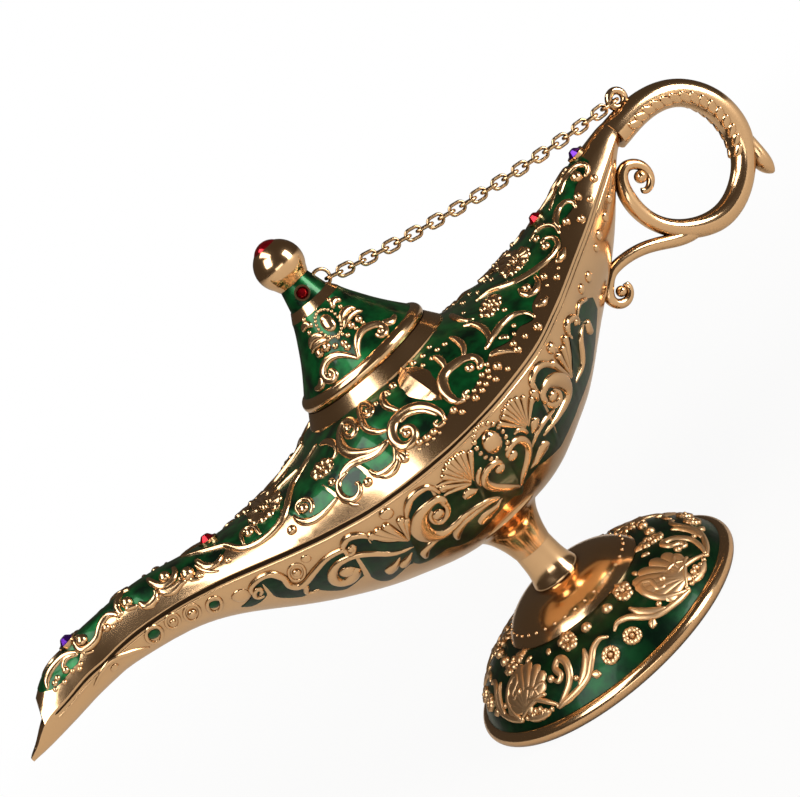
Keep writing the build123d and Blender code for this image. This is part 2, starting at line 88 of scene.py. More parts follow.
class Nodes:
    """A node tree that nodes are put into one by one."""

    def __init__(self, tree):
        self.tree = tree

    def node(self, kind, settings=None, values=None):
        """A new node with its settings, and with values or links on its sockets."""
        made = self.tree.nodes.new(kind)
        for name, value in (settings or {}).items():
            setattr(made, name, value)
        for name, value in (values or {}).items():
            self.set(made.inputs[name], value)
        return made

    def set(self, socket, value):
        if isinstance(value, Mask):
            value = value.socket
        if isinstance(value, bpy.types.NodeSocket):
            self.tree.links.new(value, socket)
        else:
            socket.default_value = value

    def mask(self, kind, settings=None, values=None, output=0):
        return Mask(self, self.node(kind, settings, values).outputs[output])

    def between(self, factor, first, second):
        """One colour where the mask is 0 and the other where it is 1."""
        mixed = self.node("ShaderNodeMix", {"data_type": "RGBA"}, {"Factor": factor, 6: first, 7: second})
        return mixed.outputs[2]

    def stretched(self, value, low, high, least=0.0, most=1.0):
        """A mask that goes from least to most while the value goes from low to high."""
        span = {"Value": value, "From Min": low, "From Max": high, "To Min": least, "To Max": most}
        return self.mask("ShaderNodeMapRange", None, span)

    def open_sky(self, reach):
        """A mask that is 1 in the open and falls to 0 in a corner that closes within reach."""
        return self.mask("ShaderNodeAmbientOcclusion", {"samples": 4}, {"Distance": reach}, "AO")


class Finish(Nodes):
    """A material with a Principled surface."""

    def __init__(self, name):
        self.material = bpy.data.materials.new(name)
        self.material.use_nodes = True
        super().__init__(self.material.node_tree)
        self.surface = self.tree.nodes["Principled BSDF"]

    def finish(self, **values):
        for name, value in values.items():
            self.set(self.surface.inputs[name.replace("_", " ")], value)
        return self.material

    def bump(self, height, distance, strength):
        raised = {"Strength": strength, "Distance": distance, "Height": height}
        return self.node("ShaderNodeBump", None, raised).outputs[0]


def grain(finish, scale, detail=2.0):
    """Soft noise over the lamp, with its scale per metre."""
    place = finish.node("ShaderNodeTexCoord").outputs["Object"]
    return finish.mask("ShaderNodeTexNoise", None, {"Vector": place, "Scale": scale, "Detail": detail})


def opaque(colour, share=1):
    """A colour, made darker or brighter by a share, with its alpha."""
    return tuple(min(1, c * share) for c in colour) + (1,)


def gold_finish(name, colour, roughness, corner_shade_share=0.86):
    """Plated gold, with painted shade in its corners: its last argument is the share of its colour that the
    painted shade takes away in a corner.
    """
    corner_reach, corner_from, corner_to, corner_warmth = 1.8 * mm, 0.30, 0.92, 1.25
    cloud_scale, cloud_lift, cloud_share, cloud_roughness = 90, 1.08, 0.35, 0.07
    wheel_scale, wheel_detail, wheel_depth, wheel_strength = 1400, 1.0, 0.02 * mm, 0.15
    gold = Finish(name)
    # painted shade: the colour falls to a darker, warmer brown in corners and beside the ornament, by the
    # occlusion mask
    painted_corner_shade = gold.stretched(gold.open_sky(corner_reach), corner_from, corner_to)
    cloud = grain(gold, cloud_scale)
    dark = tuple(c ** corner_warmth * (1 - corner_shade_share) for c in colour) + (1,)
    tone = gold.between(painted_corner_shade, dark, opaque(colour))
    lifted_tone = gold.between(cloud, tone, opaque(colour, cloud_lift))
    tone = gold.between(cloud * cloud_share, tone, lifted_tone)
    wheel_marks = gold.bump(grain(gold, wheel_scale, wheel_detail), wheel_depth, wheel_strength)
    return gold.finish(Base_Color=tone, Metallic=1.0, Roughness=roughness + cloud_roughness * cloud,
                       Normal=wheel_marks)


rose_gold = (0.86, 0.55, 0.295)
polished_gold = gold_finish("polished_gold", rose_gold, 0.12)
relief_gold = gold_finish("relief_gold", rose_gold, 0.17)
satin_gold = gold_finish("satin_gold", rose_gold, 0.34, 0.6)


# The castings: the deck, the hull, the collar, the stem, the foot's dome and rim, the handle, the
# eyelet, the lid's plain rings and the stones' bezels, all cast zinc, polished and plated in one
# bath.
def dress(names, finish):
    """Give these nodes this finish and no other."""
    for name in names:
        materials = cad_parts[name].data.materials
        materials.clear()
        materials.append(finish)


dress(["upper_shell", "lower_shell", "mouth_collar", "handle", "chain_lug", "stem_upper", "stem_lower",
       "foot_dome", "foot_rim", "lid_brim_ring", "lid_skirt", "lid_neck_band", "lid_knob",
       "spout_tip_gem_bezel", "spout_gem_bezel", "tail_gem_bezel", "tail_tip_gem_bezel",
       "neck_gem_bezels"], polished_gold)

# The enamel: translucent green glass paint over the bright metal, in shallow beds between the gold
# lines. Its floor is a little uneven, so it shimmers, and its top is glossy. On the hull and the
# foot a darker copy of it stands in as painted shade.
green_deep = (0.001, 0.014, 0.005, 1)
green_bright = (0.003, 0.140, 0.028, 1)
bottle_green = (0.002, 0.050, 0.012, 1)


def enamel_finish(name, bright, coat):
    """Enamel that is bright where its floor swells up to it, deep green in pools, and darkened by painted
    shade in its corners.
    """
    swell_scale, swell_detail, swell_from, swell_to, swell_roughness = 260, 3.0, 0.35, 0.7, 0.1
    corner_reach = 1.2 * mm
    ripple_scale, ripple_depth, ripple_strength = 700, 0.05 * mm, 0.35
    glass_bend = 1.4
    enamel = Finish(name)
    swell = grain(enamel, swell_scale, swell_detail)
    thin = enamel.stretched(swell, swell_from, swell_to)
    # painted shade: the green turns deep in corners, where the occlusion mask falls
    tone = enamel.between(thin * enamel.open_sky(corner_reach), green_deep, bright)
    ripple = enamel.bump(grain(enamel, ripple_scale), ripple_depth, ripple_strength)
    return enamel.finish(Base_Color=tone, Metallic=0.7, Roughness=0.28 + swell_roughness * swell,
                         Coat_Weight=coat, Coat_Roughness=0.06, Coat_IOR=glass_bend, IOR=glass_bend,
                         Normal=ripple)


green_enamel = enamel_finish("green_enamel", green_bright, 0.45)
# painted shade: a darker copy of the enamel, with less coat, for the hull and the foot
dark_enamel = enamel_finish("dark_enamel", bottle_green, 0.15)


# The deck's enamel bed runs from one scalloped gold edge over the crown to the other. The edge
# is drawn from the spout to the tail, just under the scrolls that border it.
class Casting:
    """The outside of some nodes, for drawn points to be laid on."""

    def __init__(self, *names):
        vertices, faces = [], []
        for name in names:
            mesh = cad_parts[name].data
            start = len(vertices)
            vertices += [v.co.copy() for v in mesh.vertices]
            faces += [[start + i for i in p.vertices] for p in mesh.polygons]
        self.tree = BVHTree.FromPolygons(vertices, faces)

    def meet(self, start, direction):
        """The place where a line first meets the casting, and the outward direction there."""
        place, normal, _, _ = self.tree.ray_cast(start, direction)
        if place is None:
            return None
        if normal.dot(direction) > 0:
            normal = -normal
        return place, normal

    def seen(self, x, z):
        """Where the sight line through (x, z) of the middle plane meets the casting."""
        return self.meet(eye_place, (Vector((x * mm, 0, z * mm)) - eye_place).normalized())


def smooth_line(points, step=0.25):
    """Points about a step apart on a smooth curve through drawn points."""
    p = np.array(points, float)
    p = np.vstack([2 * p[0] - p[1], p, 2 * p[-1] - p[-2]])
    line = []
    for a, b, c, d in zip(p, p[1:], p[2:], p[3:]):
        count = max(2, int(np.linalg.norm(c - b) / step))
        t = np.linspace(0, 1, count, endpoint=False)[:, None]
        bend, twist = 2 * a - 5 * b + 4 * c - d, 3 * b - a - 3 * c + d
        line.append(0.5 * (2 * b + (c - a) * t + bend * t ** 2 + twist * t ** 3))
    return np.vstack(line + [p[-2:-1]])


def evened(rows, rounds):
    """Rows of numbers with each one moved towards the mean of its neighbours."""
    rows = rows.copy()
    for _ in range(rounds):
        rows[1:-1] = (rows[:-2] + 2 * rows[1:-1] + rows[2:]) / 4
    return rows


def unit(rows):
    """Vectors with their lengths made one."""
    return rows / np.maximum(np.linalg.norm(rows, axis=-1, keepdims=True), 1e-12)


def quads(count, width):
    """The faces of a grid whose vertices are listed in rows of this width."""
    return [[a, a + 1, a + width + 1, a + width]
            for i in range(count - 1) for a in range(i * width, (i + 1) * width - 1)]


def put_on(body, name, vertices, faces, finish, smooth=True):
    """A mesh of one finish that rides on a body of the lamp."""
    mesh = bpy.data.meshes.new(name)
    mesh.from_pydata(vertices, [], faces)
    mesh.polygons.foreach_set("use_smooth", [smooth] * len(mesh.polygons))
    mesh.validate()
    mesh.materials.append(finish)
    made = bpy.data.objects.new(name, mesh)
    bpy.context.scene.collection.objects.link(made)
    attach(made, body)


enamel_lift, enamel_rounds = 0.10, 2


def enamel_grid(rows, outward_axis):
    """Rows of places on a casting, evened along one axis and raised by the enamel's thickness."""
    grid = np.array(rows, float)
    grid[:, :, outward_axis] = evened(grid[:, :, outward_axis], enamel_rounds)
    across, along = np.gradient(grid, axis=1), np.gradient(grid, axis=0)
    return grid + unit(np.cross(along, across)) * enamel_lift * mm


def bed(name, grid, finish, keep=None):
    """A thin smooth sheet through a grid of points, or without those that aren't kept."""
    vertices = grid.reshape(-1, 3).tolist()
    faces = quads(*grid.shape[:2])
    if keep:
        faces = [face for face in faces if all(keep(vertices[i]) for i in face)]
    put_on("root", name, vertices, faces, finish)


deck = Casting("upper_shell")
deck_edge = [
    (-97.5, 80.3), (-96, 79.4), (-94.5, 78.4), (-92, 78.3), (-89, 78.8), (-87, 78.8), (-85.5, 80.0),
    (-84.9, 79.9), (-83.3, 79.4), (-81.3, 79.5), (-79.6, 80.4), (-77.9, 81.0), (-76.1, 81.0), (-74.9, 80.2),
    (-73, 79.8), (-71, 79.2), (-69.9, 78.3), (-69.3, 77.4), (-67.9, 76.9), (-66.3, 77.3), (-65.2, 77.4),
    (-63.9, 76.6), (-61.5, 76.0), (-59.8, 75.4), (-58.0, 75.2), (-56.4, 75.6), (-55.3, 75.0), (-53.8, 73.5),
    (-52.2, 73.3), (-50.7, 73.9), (-49.3, 74.4), (-48.4, 74.0), (-47.5, 72.6), (-45.4, 71.0), (-42.7, 70.1),
    (-40, 69.8), (-37, 70.0), (-35, 69.6), (-34, 68.2), (-33.2, 66.5), (-30.9, 65.2), (-28.1, 64.9),
    (-25.3, 65.2), (-23.8, 64.6), (-23.2, 63.4), (-22.0, 62.4), (-20.2, 62.6), (-18.6, 63.8), (-17.2, 64.3),
    (-15.8, 64.3), (-14.9, 63.0), (-12.9, 62.1), (-10, 62.0), (-8.4, 63.2), (-7.2, 63.3), (-6.2, 62.6),
    (-4.6, 62.2), (-2.9, 62.4), (-1.5, 62.0), (0.7, 61.7), (2.8, 61.4), (4.5, 61.2), (6, 61.6), (7.6, 62.0),
    (9.1, 61.6), (11, 61.2), (13, 61.4), (15, 62.0), (17.2, 62.6), (19.2, 62.9), (21, 64.4), (22.6, 64.9),
    (24.5, 64.3), (27, 63.6), (29, 63.9), (31, 64.3), (33, 63.6), (34.8, 63.4), (35.9, 65.4), (37.5, 66.3),
    (39.5, 66.8), (41.1, 68.0), (42.2, 69.8), (44, 70.2), (46, 69.9), (49, 70.0), (50.8, 71.0),
    (51.6, 72.6), (52.6, 73.8), (54, 74.4), (56, 74.8), (58, 75.0), (59.8, 76.3), (61.2, 77.7),
    (62.8, 78.4), (65, 78.8), (66.8, 79.4), (68.3, 80.2),
]
deck_step = 0.6
deck_rows = 40
deck_lowest, bed_lowest = 62 * mm, 60 * mm
high_over_deck = 200 * mm
collar_room = 16.5 * mm
straight_down = Vector((0, 0, -1))

edge_hits = [deck.seen(x, z) for x, z in smooth_line(deck_edge, deck_step)]
edge_hits = [h for h in edge_hits if h is not None]
edge_x = np.array([h[0].x for h in edge_hits]) / mm
edge_y = np.array([-h[0].y for h in edge_hits]) / mm
order = np.argsort(edge_x)
edge_x, edge_y = edge_x[order], edge_y[order]
deck_places = []
for x in np.arange(edge_x[0], edge_x[-1], deck_step):
    reach = np.interp(x, edge_x, edge_y)
    row = []
    for share in np.linspace(-1, 1, deck_rows):
        hit = deck.meet(Vector((x * mm, share * reach * mm, high_over_deck)), straight_down)
        on_crown = hit and hit[0].z > deck_lowest
        row.append(hit[0] if on_crown else Vector((x * mm, share * reach * mm, 0)))
    deck_places.append(row)


def on_deck(v):
    """Clear of the collar, and not where the sheet falls away over the edge."""
    return math.hypot(v[0], v[1]) > collar_room and v[2] > bed_lowest


bed("deck_enamel", enamel_grid(deck_places, 2), green_enamel, on_deck)


# The deck's scrolls: round raised bands that curl in on a ball, with open flowers among them.
# They are cast in one piece with the deck and polished, and stand over the enamel.
def part_way(start, end, share):
    """The drawn point at this share of the way."""
    return tuple(a * (1 - share) + b * share for a, b in zip(start, end))


class Relief:
    """Raised ornament that is gathered into one mesh, each piece of it at every copy.

    plump and proud say how much wider and higher it is cast than its drawn widths and heights,
    and steepest how high a band may be for half its width.
    """

    plump, proud, steepest = 1.75, 1.35, 1.1
    fewest_places, place_rounds, normal_rounds = 4, 3, 12
    bead_swell, bead_rise, bead_axis = 1.15, 0.95, (0.3, 0.2, 0.9)
    round_section = [(-math.cos(a), math.sin(a)) for a in np.linspace(0, math.pi, 9)]
    ridged_section = [(-1, 0), (-0.5, 0.5), (0, 1), (0.5, 0.5), (1, 0)]

    def __init__(self, casting, copies):
        self.casting, self.copies = casting, [np.array(m, float) for m in copies]
        self.vertices, self.faces, self.count = [], [], 0

    def add(self, vertices, faces):
        self.vertices.append(vertices)
        self.faces += [[i + self.count for i in f] for f in faces]
        self.count += len(vertices)

    def laid(self, points):
        """The places of drawn points on the casting and its outward directions there, evened."""
        hits = [self.casting.seen(x, z) for x, z in points]
        kept = [h for h in hits if h is not None]
        if len(kept) < self.fewest_places:
            return None, None
        places = evened(np.array([h[0] for h in kept], float), self.place_rounds)
        normals = unit(evened(np.array([h[1] for h in kept], float), self.normal_rounds))
        return places, normals

    def band(self, points, widths, height, section=round_section, sunk=0.12, rounded=True):
        """A raised line through drawn points. widths are shared out evenly from its start to its end."""
        places, normals = self.laid(smooth_line(points))
        if places is not None:
            self.band_over(places, normals, widths, height, section, sunk, rounded)

    def bands(self, drawn, height):
        for points, widths in drawn:
            self.band(points, widths, height)

    def band_over(self, places, normals, widths, height, section=round_section, sunk=0.12, rounded=True):
        """A raised line through places that already lie on the casting."""
        run = np.concatenate([[0], np.cumsum(np.linalg.norm(np.diff(places, axis=0), axis=1))])
        stations = np.linspace(0, 1, len(widths))
        half = np.interp(run / run[-1], stations, widths) / 2 * mm * self.plump
        if rounded:
            end = np.minimum(run, run[-1] - run) / np.maximum(half, 1e-6)
            half = half * np.sqrt(1 - (1 - np.minimum(end, 1)) ** 2) + 1e-6
        rise = np.minimum(height * mm * self.proud, half * self.steepest)
        for copy in self.copies:
            p, n = places @ copy.T, normals @ copy.T
            side = unit(np.cross(unit(np.gradient(p, axis=0)), n))
            rings = [p + side * (half * s)[:, None] + n * (rise * u - sunk * mm)[:, None] for s, u in section]
            self.add(np.stack(rings, axis=1).reshape(-1, 3), quads(len(p), len(section)))

    def dome_at(self, place, normal, axis, radii, height):
        """A dome with one radius along the axis and the other across it, curled in at its foot."""
        rings, sides, curl, sunk = 6, 14, 1.08, 0.1
        for copy in self.copies:
            p, n, a = (np.array(v, float) @ copy.T for v in (place, normal, axis))
            side = unit(np.cross(n, a))
            a = unit(np.cross(side, n))
            vertices = [p + n * (height - sunk) * mm]
            for r in range(1, rings + 1):
                lean = r / rings * math.pi / 2 * curl
                for k in range(sides):
                    turn = 2 * math.pi * k / sides
                    out = a * (math.cos(turn) * radii[0]) + side * (math.sin(turn) * radii[1])
                    vertices.append(p + (out * math.sin(lean) + n * (height * math.cos(lean) - sunk)) * mm)
            faces = [[0, 1 + k, 1 + (k + 1) % sides] for k in range(sides)]
            for r in range(rings - 1):
                for k in range(sides):
                    a0, b0 = 1 + r * sides + k, 1 + r * sides + (k + 1) % sides
                    faces.append([a0, a0 + sides, b0 + sides, b0])
            self.add(np.array(vertices), faces)

    def bead(self, x, z, radius, height=None):
        """A ball, nearly as high as its radius unless its height is given."""
        hit = self.casting.seen(x, z)
        if hit:
            rise = (height or radius * self.bead_rise) * self.bead_swell
            self.dome_at(*hit, self.bead_axis, (radius * self.bead_swell,) * 2, rise)

    def beads(self, drawn):
        for bead in drawn:
            self.bead(*bead)

    def oval(self, middle, towards, radii, height):
        """A dome with its long radius towards a second drawn point."""
        hit, other = self.casting.seen(*middle), self.casting.seen(*towards)
        if hit and other:
            self.dome_at(*hit, other[0] - hit[0], radii, height)

    def drop(self, head, tip, width):
        """A teardrop, round at its head."""
        width_shares, tip_width, neck_share, height = (1.2, 1.15, 0.6), 0.1, 0.45, 0.72
        widths = [width * share for share in width_shares] + [tip_width]
        self.band([head, part_way(head, tip, neck_share), tip], widths, height)

    def fan(self, base, tips, width, height=0.6):
        """Ribs that open from a base to round tips."""
        width_shares, near_share, rib_lift = (0.22, 0.36, 0.52, 0.66), 0.2, 1.25
        widths = [width * share for share in width_shares]
        for tip in tips:
            near = part_way(base, tip, near_share)
            self.band([base, near, part_way(near, tip, 0.5), tip], widths, height * rib_lift)

    def ring(self, x, z, radius, width, height):
        """A round raised line about a drawn point."""
        circle_points = 25
        turns = np.linspace(0, 2 * math.pi, circle_points)
        circle = [(x + radius * math.cos(t), z + radius * math.sin(t)) for t in turns]
        self.band(circle, [width], height, rounded=False)

    def flower(self, x, z, wide, high, petals, bead=0.8):
        """An open flower seen aslant: petals round a bead."""
        petal_shares, petal_widths, petal_height = (0.13, 0.32, 0.5), [0.7, 1.3, 1.5], 0.65
        first_petal, bead_height = 0.25, 1.0
        for k in range(petals):
            turn = 2 * math.pi * (k + first_petal) / petals
            c, s = math.cos(turn), math.sin(turn)
            petal = [(x + c * wide * share, z + s * high * share) for share in petal_shares]
            self.band(petal, petal_widths, petal_height)
        self.bead(x, z, bead, bead_height)

    def piece(self, name, finish, body, smooth=True):
        put_on(body, name, np.vstack(self.vertices).tolist(), self.faces, finish, smooth)


both_sides = [np.diag([1, 1, 1]), np.diag([1, -1, 1])]
fine = [0.45, 0.75, 0.75, 0.5]
middling = [0.5, 1.0, 1.1, 0.8, 0.5]
bold = [0.5, 1.2, 1.4, 1.2, 0.7]
deck_scroll_height = 0.62
deck_scrolls = [
    ([(4.2, 60.8), (4.7, 62.6), (4.0, 64.9), (2.5, 67.0), (0.3, 68.4), (-2.0, 68.9), (-4.3, 68.7),
      (-6.0, 67.6), (-7.0, 65.9), (-7.0, 64.5), (-6.2, 63.2), (-4.6, 62.7), (-2.9, 63.1), (-2.2, 64.3),
      (-2.6, 65.6), (-4.0, 66.1), (-4.9, 65.4)], [0.5, 1.1, 1.3, 1.5, 1.5, 1.4, 1.2, 1.0, 0.7]),
    ([(3.9, 62.9), (2.4, 65.6), (0.2, 67.2), (-1.9, 67.8), (-3.6, 67.6)], fine),
    ([(4.2, 60.8), (3.4, 61.0), (2.4, 61.1), (1.9, 61.8), (2.5, 62.4), (3.2, 62.0)], [0.7, 0.6, 0.4]),
    ([(-8.3, 66.7), (-11.1, 66.9), (-14.0, 68.5), (-16.0, 70.5), (-16.4, 72.3), (-15.7, 74.0),
      (-14.0, 75.6), (-12.3, 76.1), (-11.0, 75.2), (-11.1, 73.6), (-12.6, 72.7), (-14.0, 73.4),
      (-13.7, 74.6)], [0.6, 1.2, 1.5, 1.5, 1.3, 1.1, 0.9, 0.7]),
    ([(-6.0, 68.2), (-8.3, 69.4), (-9.6, 71.2), (-9.7, 72.9), (-9.0, 74.5), (-8.0, 75.9), (-6.9, 76.3),
      (-5.9, 75.4), (-6.0, 74.0), (-7.0, 73.3), (-8.0, 73.8), (-7.9, 74.8)],
     [0.5, 1.0, 1.1, 1.0, 0.9, 0.8, 0.6]),
    ([(-1.5, 69.3), (-2.6, 70.8), (-3.2, 72.4), (-2.9, 73.8), (-1.9, 74.6), (-0.9, 74.3), (-1.0, 73.4)],
     middling),
    ([(11, 61), (9.1, 62.2), (8.5, 64.2), (8.8, 66.1), (9.9, 67.9), (11.7, 68.6), (13.9, 68.5),
      (16.2, 68.0), (18.2, 66.9), (18.9, 65.5), (18.5, 64.2), (17.2, 63.9)],
     [0.5, 1.3, 1.5, 1.5, 1.5, 1.3, 1.1, 0.8]),
    ([(12.2, 61.0), (11.2, 61.3), (11.3, 62.1), (12.3, 62.2), (12.9, 61.6)], fine),
    ([(11.7, 73.0), (12.5, 71.5), (12.3, 69.6), (11.7, 68.9)], middling),
    ([(17.4, 73.6), (18.3, 71.6), (18.2, 69.6), (16.8, 68.1)], middling),
    ([(21.2, 73.3), (23.5, 71.6), (24.5, 69), (23.6, 66.6), (21.5, 66.0)], middling),
    ([(-22.5, 67.2), (-20.3, 68.3), (-17.7, 68.7), (-15.1, 67.9), (-12.8, 66.8), (-10.3, 66.3),
      (-7.7, 66.7)], bold),
    ([(-15.4, 65.1), (-14.9, 63.1), (-12.9, 62.2), (-10, 62.1), (-8.6, 63.5), (-7.8, 65.0)],
     [0.5, 0.9, 0.9, 0.8, 0.5]),
    ([(-15.2, 62.9), (-13.4, 61.2), (-11.3, 60.9), (-9.2, 61.9), (-8.2, 63.4)], [0.3, 0.7, 0.8, 0.7, 0.4]),
    ([(-57.4, 79.8), (-53.4, 77.5), (-50.2, 75.7), (-48.6, 74.7), (-47.5, 72.8), (-45.4, 71.2),
      (-42.7, 70.3), (-40, 70), (-37, 70.3), (-34.3, 71.4), (-31.8, 73), (-29.9, 74.1), (-26.3, 75.1),
      (-22.2, 76.2), (-19.8, 76.9)], [0.5, 0.8, 0.9, 1.0, 1.1, 1.0, 0.9, 0.7]),
    ([(-46.0, 72.0), (-45.5, 73.4), (-44.6, 74.4), (-42.9, 74.3), (-41.8, 73.3), (-41.9, 71.9),
      (-41.9, 71.2)], fine),
    ([(-33.0, 68.3), (-32.6, 69.9), (-31.4, 70.5), (-29.9, 70.2), (-29.2, 69.0), (-29.9, 67.6),
      (-31.3, 67.2)], fine),
    ([(-33.9, 69.5), (-34.1, 68.3), (-33.2, 66.6), (-30.9, 65.4), (-28.1, 65.1), (-24.3, 65.5)], middling),
    ([(-19, 68), (-22, 67.6), (-23.4, 66), (-23.5, 64), (-22.1, 62.6), (-20.2, 62.8), (-19, 64.4),
      (-19.9, 65)], middling),
    ([(-23.5, 63.6), (-23.0, 62.0), (-21.8, 60.8)], [0.7, 0.5, 0.3]),
    ([(-55.5, 77.3), (-55.1, 75), (-53.8, 73.7), (-52.2, 73.5), (-50.7, 74.1)], middling),
    ([(-95.3, 79.0), (-94.1, 80.7), (-91.8, 81.7), (-88.9, 81.9), (-87, 81.4), (-85.6, 80.2)], middling),
    ([(-90.4, 79.9), (-89.0, 81.0), (-87.5, 81.0), (-86.0, 80.0)], fine),
    ([(-83.0, 82.9), (-84.5, 82.7), (-85.1, 81.4), (-84.9, 80.2), (-83.3, 79.6), (-81.3, 79.7),
      (-79.6, 80.7), (-77.9, 81.5), (-76.1, 81.6), (-74.9, 80.5), (-74.8, 79.6)],
     [0.5, 0.9, 1.0, 0.9, 1.0, 0.9, 0.6]),
    ([(-85.3, 79.6), (-84.3, 78.9), (-83.2, 78.3)], [0.7, 0.5, 0.3]),
    ([(-73.9, 79.4), (-74.1, 80.9), (-73.1, 82.2), (-71.0, 82.8), (-69.2, 82.3)], middling),
    ([(-73.0, 80.1), (-71.6, 79.4), (-70.4, 78.7)], [0.9, 0.8, 0.4]),
    ([(-69.9, 79.3), (-69.5, 77.6), (-67.9, 77.1), (-66.3, 77.6), (-65.7, 78.9)], middling),
    ([(-69.5, 77.4), (-68.9, 76.7), (-68.0, 76.2)], [0.7, 0.5, 0.3]),
    ([(-65.3, 81.5), (-65.1, 79.7), (-63.8, 77.9), (-61.8, 77.6), (-60.3, 78.2), (-59.9, 79.4)],
     [0.5, 1.0, 1.2, 1.0, 0.6]),
    ([(-65.4, 78.2), (-64.6, 76.9), (-62.9, 76.0), (-60.9, 75.8), (-59.6, 75.3)],
     [0.5, 1.2, 1.4, 1.0, 0.5]),
    ([(-59.2, 75.2), (-58.2, 74.3), (-57.4, 73.5)], [0.8, 0.6, 0.3]),
    ([(-56.3, 76.6), (-55.9, 74.8), (-54.7, 73.0), (-53.3, 71.9)], [0.6, 0.6, 0.5, 0.3]),
    ([(27, 75.2), (31.5, 74.4), (33.8, 73.5), (37, 72.2), (40.3, 71.3), (42.8, 70.9), (45.8, 70.6),
      (48.3, 70.7), (50.1, 71.5), (50.4, 73.1), (48.8, 74.4), (47, 74.2)],
     [0.5, 1.0, 1.2, 1.1, 0.9, 0.8, 0.6]),
    ([(45.4, 76.4), (48.2, 77), (50.8, 76.4), (52.3, 74.9), (52, 72.9)], fine),
    ([(46.8, 69.0), (48.3, 68.9), (50.9, 69.9)], [0.5, 1.2, 0.5]),
    ([(36.7, 70.6), (36.4, 69.2), (37.4, 67.9), (39.2, 67.6), (40.9, 68.6), (41.3, 70.2)], middling),
    ([(36.6, 65.2), (38.3, 64.4), (40.5, 64.8)], [0.4, 1.0, 0.4]),
    ([(22, 66), (24.2, 66.7), (27.4, 67.4), (30.6, 67.3), (33.0, 66.4), (34.4, 65.1), (35.1, 63.2)],
     middling),
    ([(21.2, 64.4), (23.2, 63.7), (25.6, 61.9), (26.6, 60.8)], [0.5, 0.9, 0.6, 0.3]),
    ([(25.4, 65.6), (26.9, 65.0), (27.3, 63.9)], fine),
    ([(53.0, 73.8), (52.9, 75.0), (53.9, 76.2), (55.7, 77.2), (58, 77.1), (59.2, 75.8), (58.7, 74.5)],
     middling),
    ([(57.9, 79.2), (60.7, 80.7), (63.6, 81.4), (65.8, 81.1), (67.2, 79.8), (66.4, 78.6), (65.0, 78.3)],
     middling),
    ([(53.6, 78.2), (57.2, 80.1), (60.8, 81.9), (63.6, 82.4)], fine),
    ([(20.9, 76.9), (21.6, 74.9), (23.0, 73.3), (24.6, 72.6)], middling),
    ([(-27.5, 77.5), (-30.5, 76.9), (-33.3, 76.6), (-34.6, 76.2)], fine),
    ([(-19.6, 76.4), (-17.8, 75.6), (-17.2, 74.0), (-18.2, 72.5), (-20.0, 72.2)], middling),
]
deck_balls = [
    (-4.0, 64.8, 0.9), (-12.7, 74.6, 0.9), (-7.1, 74.4, 0.7), (-1.5, 74.0, 0.55), (16.2, 65.4, 1.0),
    (-43.4, 73.3, 1.0), (-31.4, 68.8, 1.1), (-83.5, 81.6, 1.2), (-62.5, 79.1, 1.2), (-58.6, 76.2, 1.4),
    (-71.7, 80.7, 1.2), (-73.6, 81.6, 0.8), (-78.2, 80.0, 0.8), (47.6, 73.1, 1.0), (47.1, 75.7, 0.8),
    (38.0, 69.3, 1.0), (55.0, 73.9, 0.9), (63.6, 79.5, 1.2), (60.8, 76.1, 0.9), (66.6, 76.5, 0.9),
    (62.7, 73.8, 0.7), (58.1, 72.0, 0.9),
]
scrolls = Relief(deck, both_sides)
scrolls.bands(deck_scrolls, deck_scroll_height)
scrolls.beads(deck_balls)
scrolls.flower(-37.4, 74.7, 9.6, 4.4, 11)
scrolls.flower(-22.7, 72.1, 6.2, 3.4, 8)
scrolls.flower(39.9, 75.2, 9.4, 4.0, 11)
scrolls.flower(29, 72, 6.6, 3.8, 8)
scrolls.drop((-8.0, 60.3), (-8.0, 64.2), 1.0)
scrolls.drop((-9.0, 61.0), (-7.9, 64.0), 0.7)
scrolls.drop((-7.0, 61.0), (-7.9, 64.0), 0.7)
scrolls.piece("deck_scrolls", relief_gold, "root")

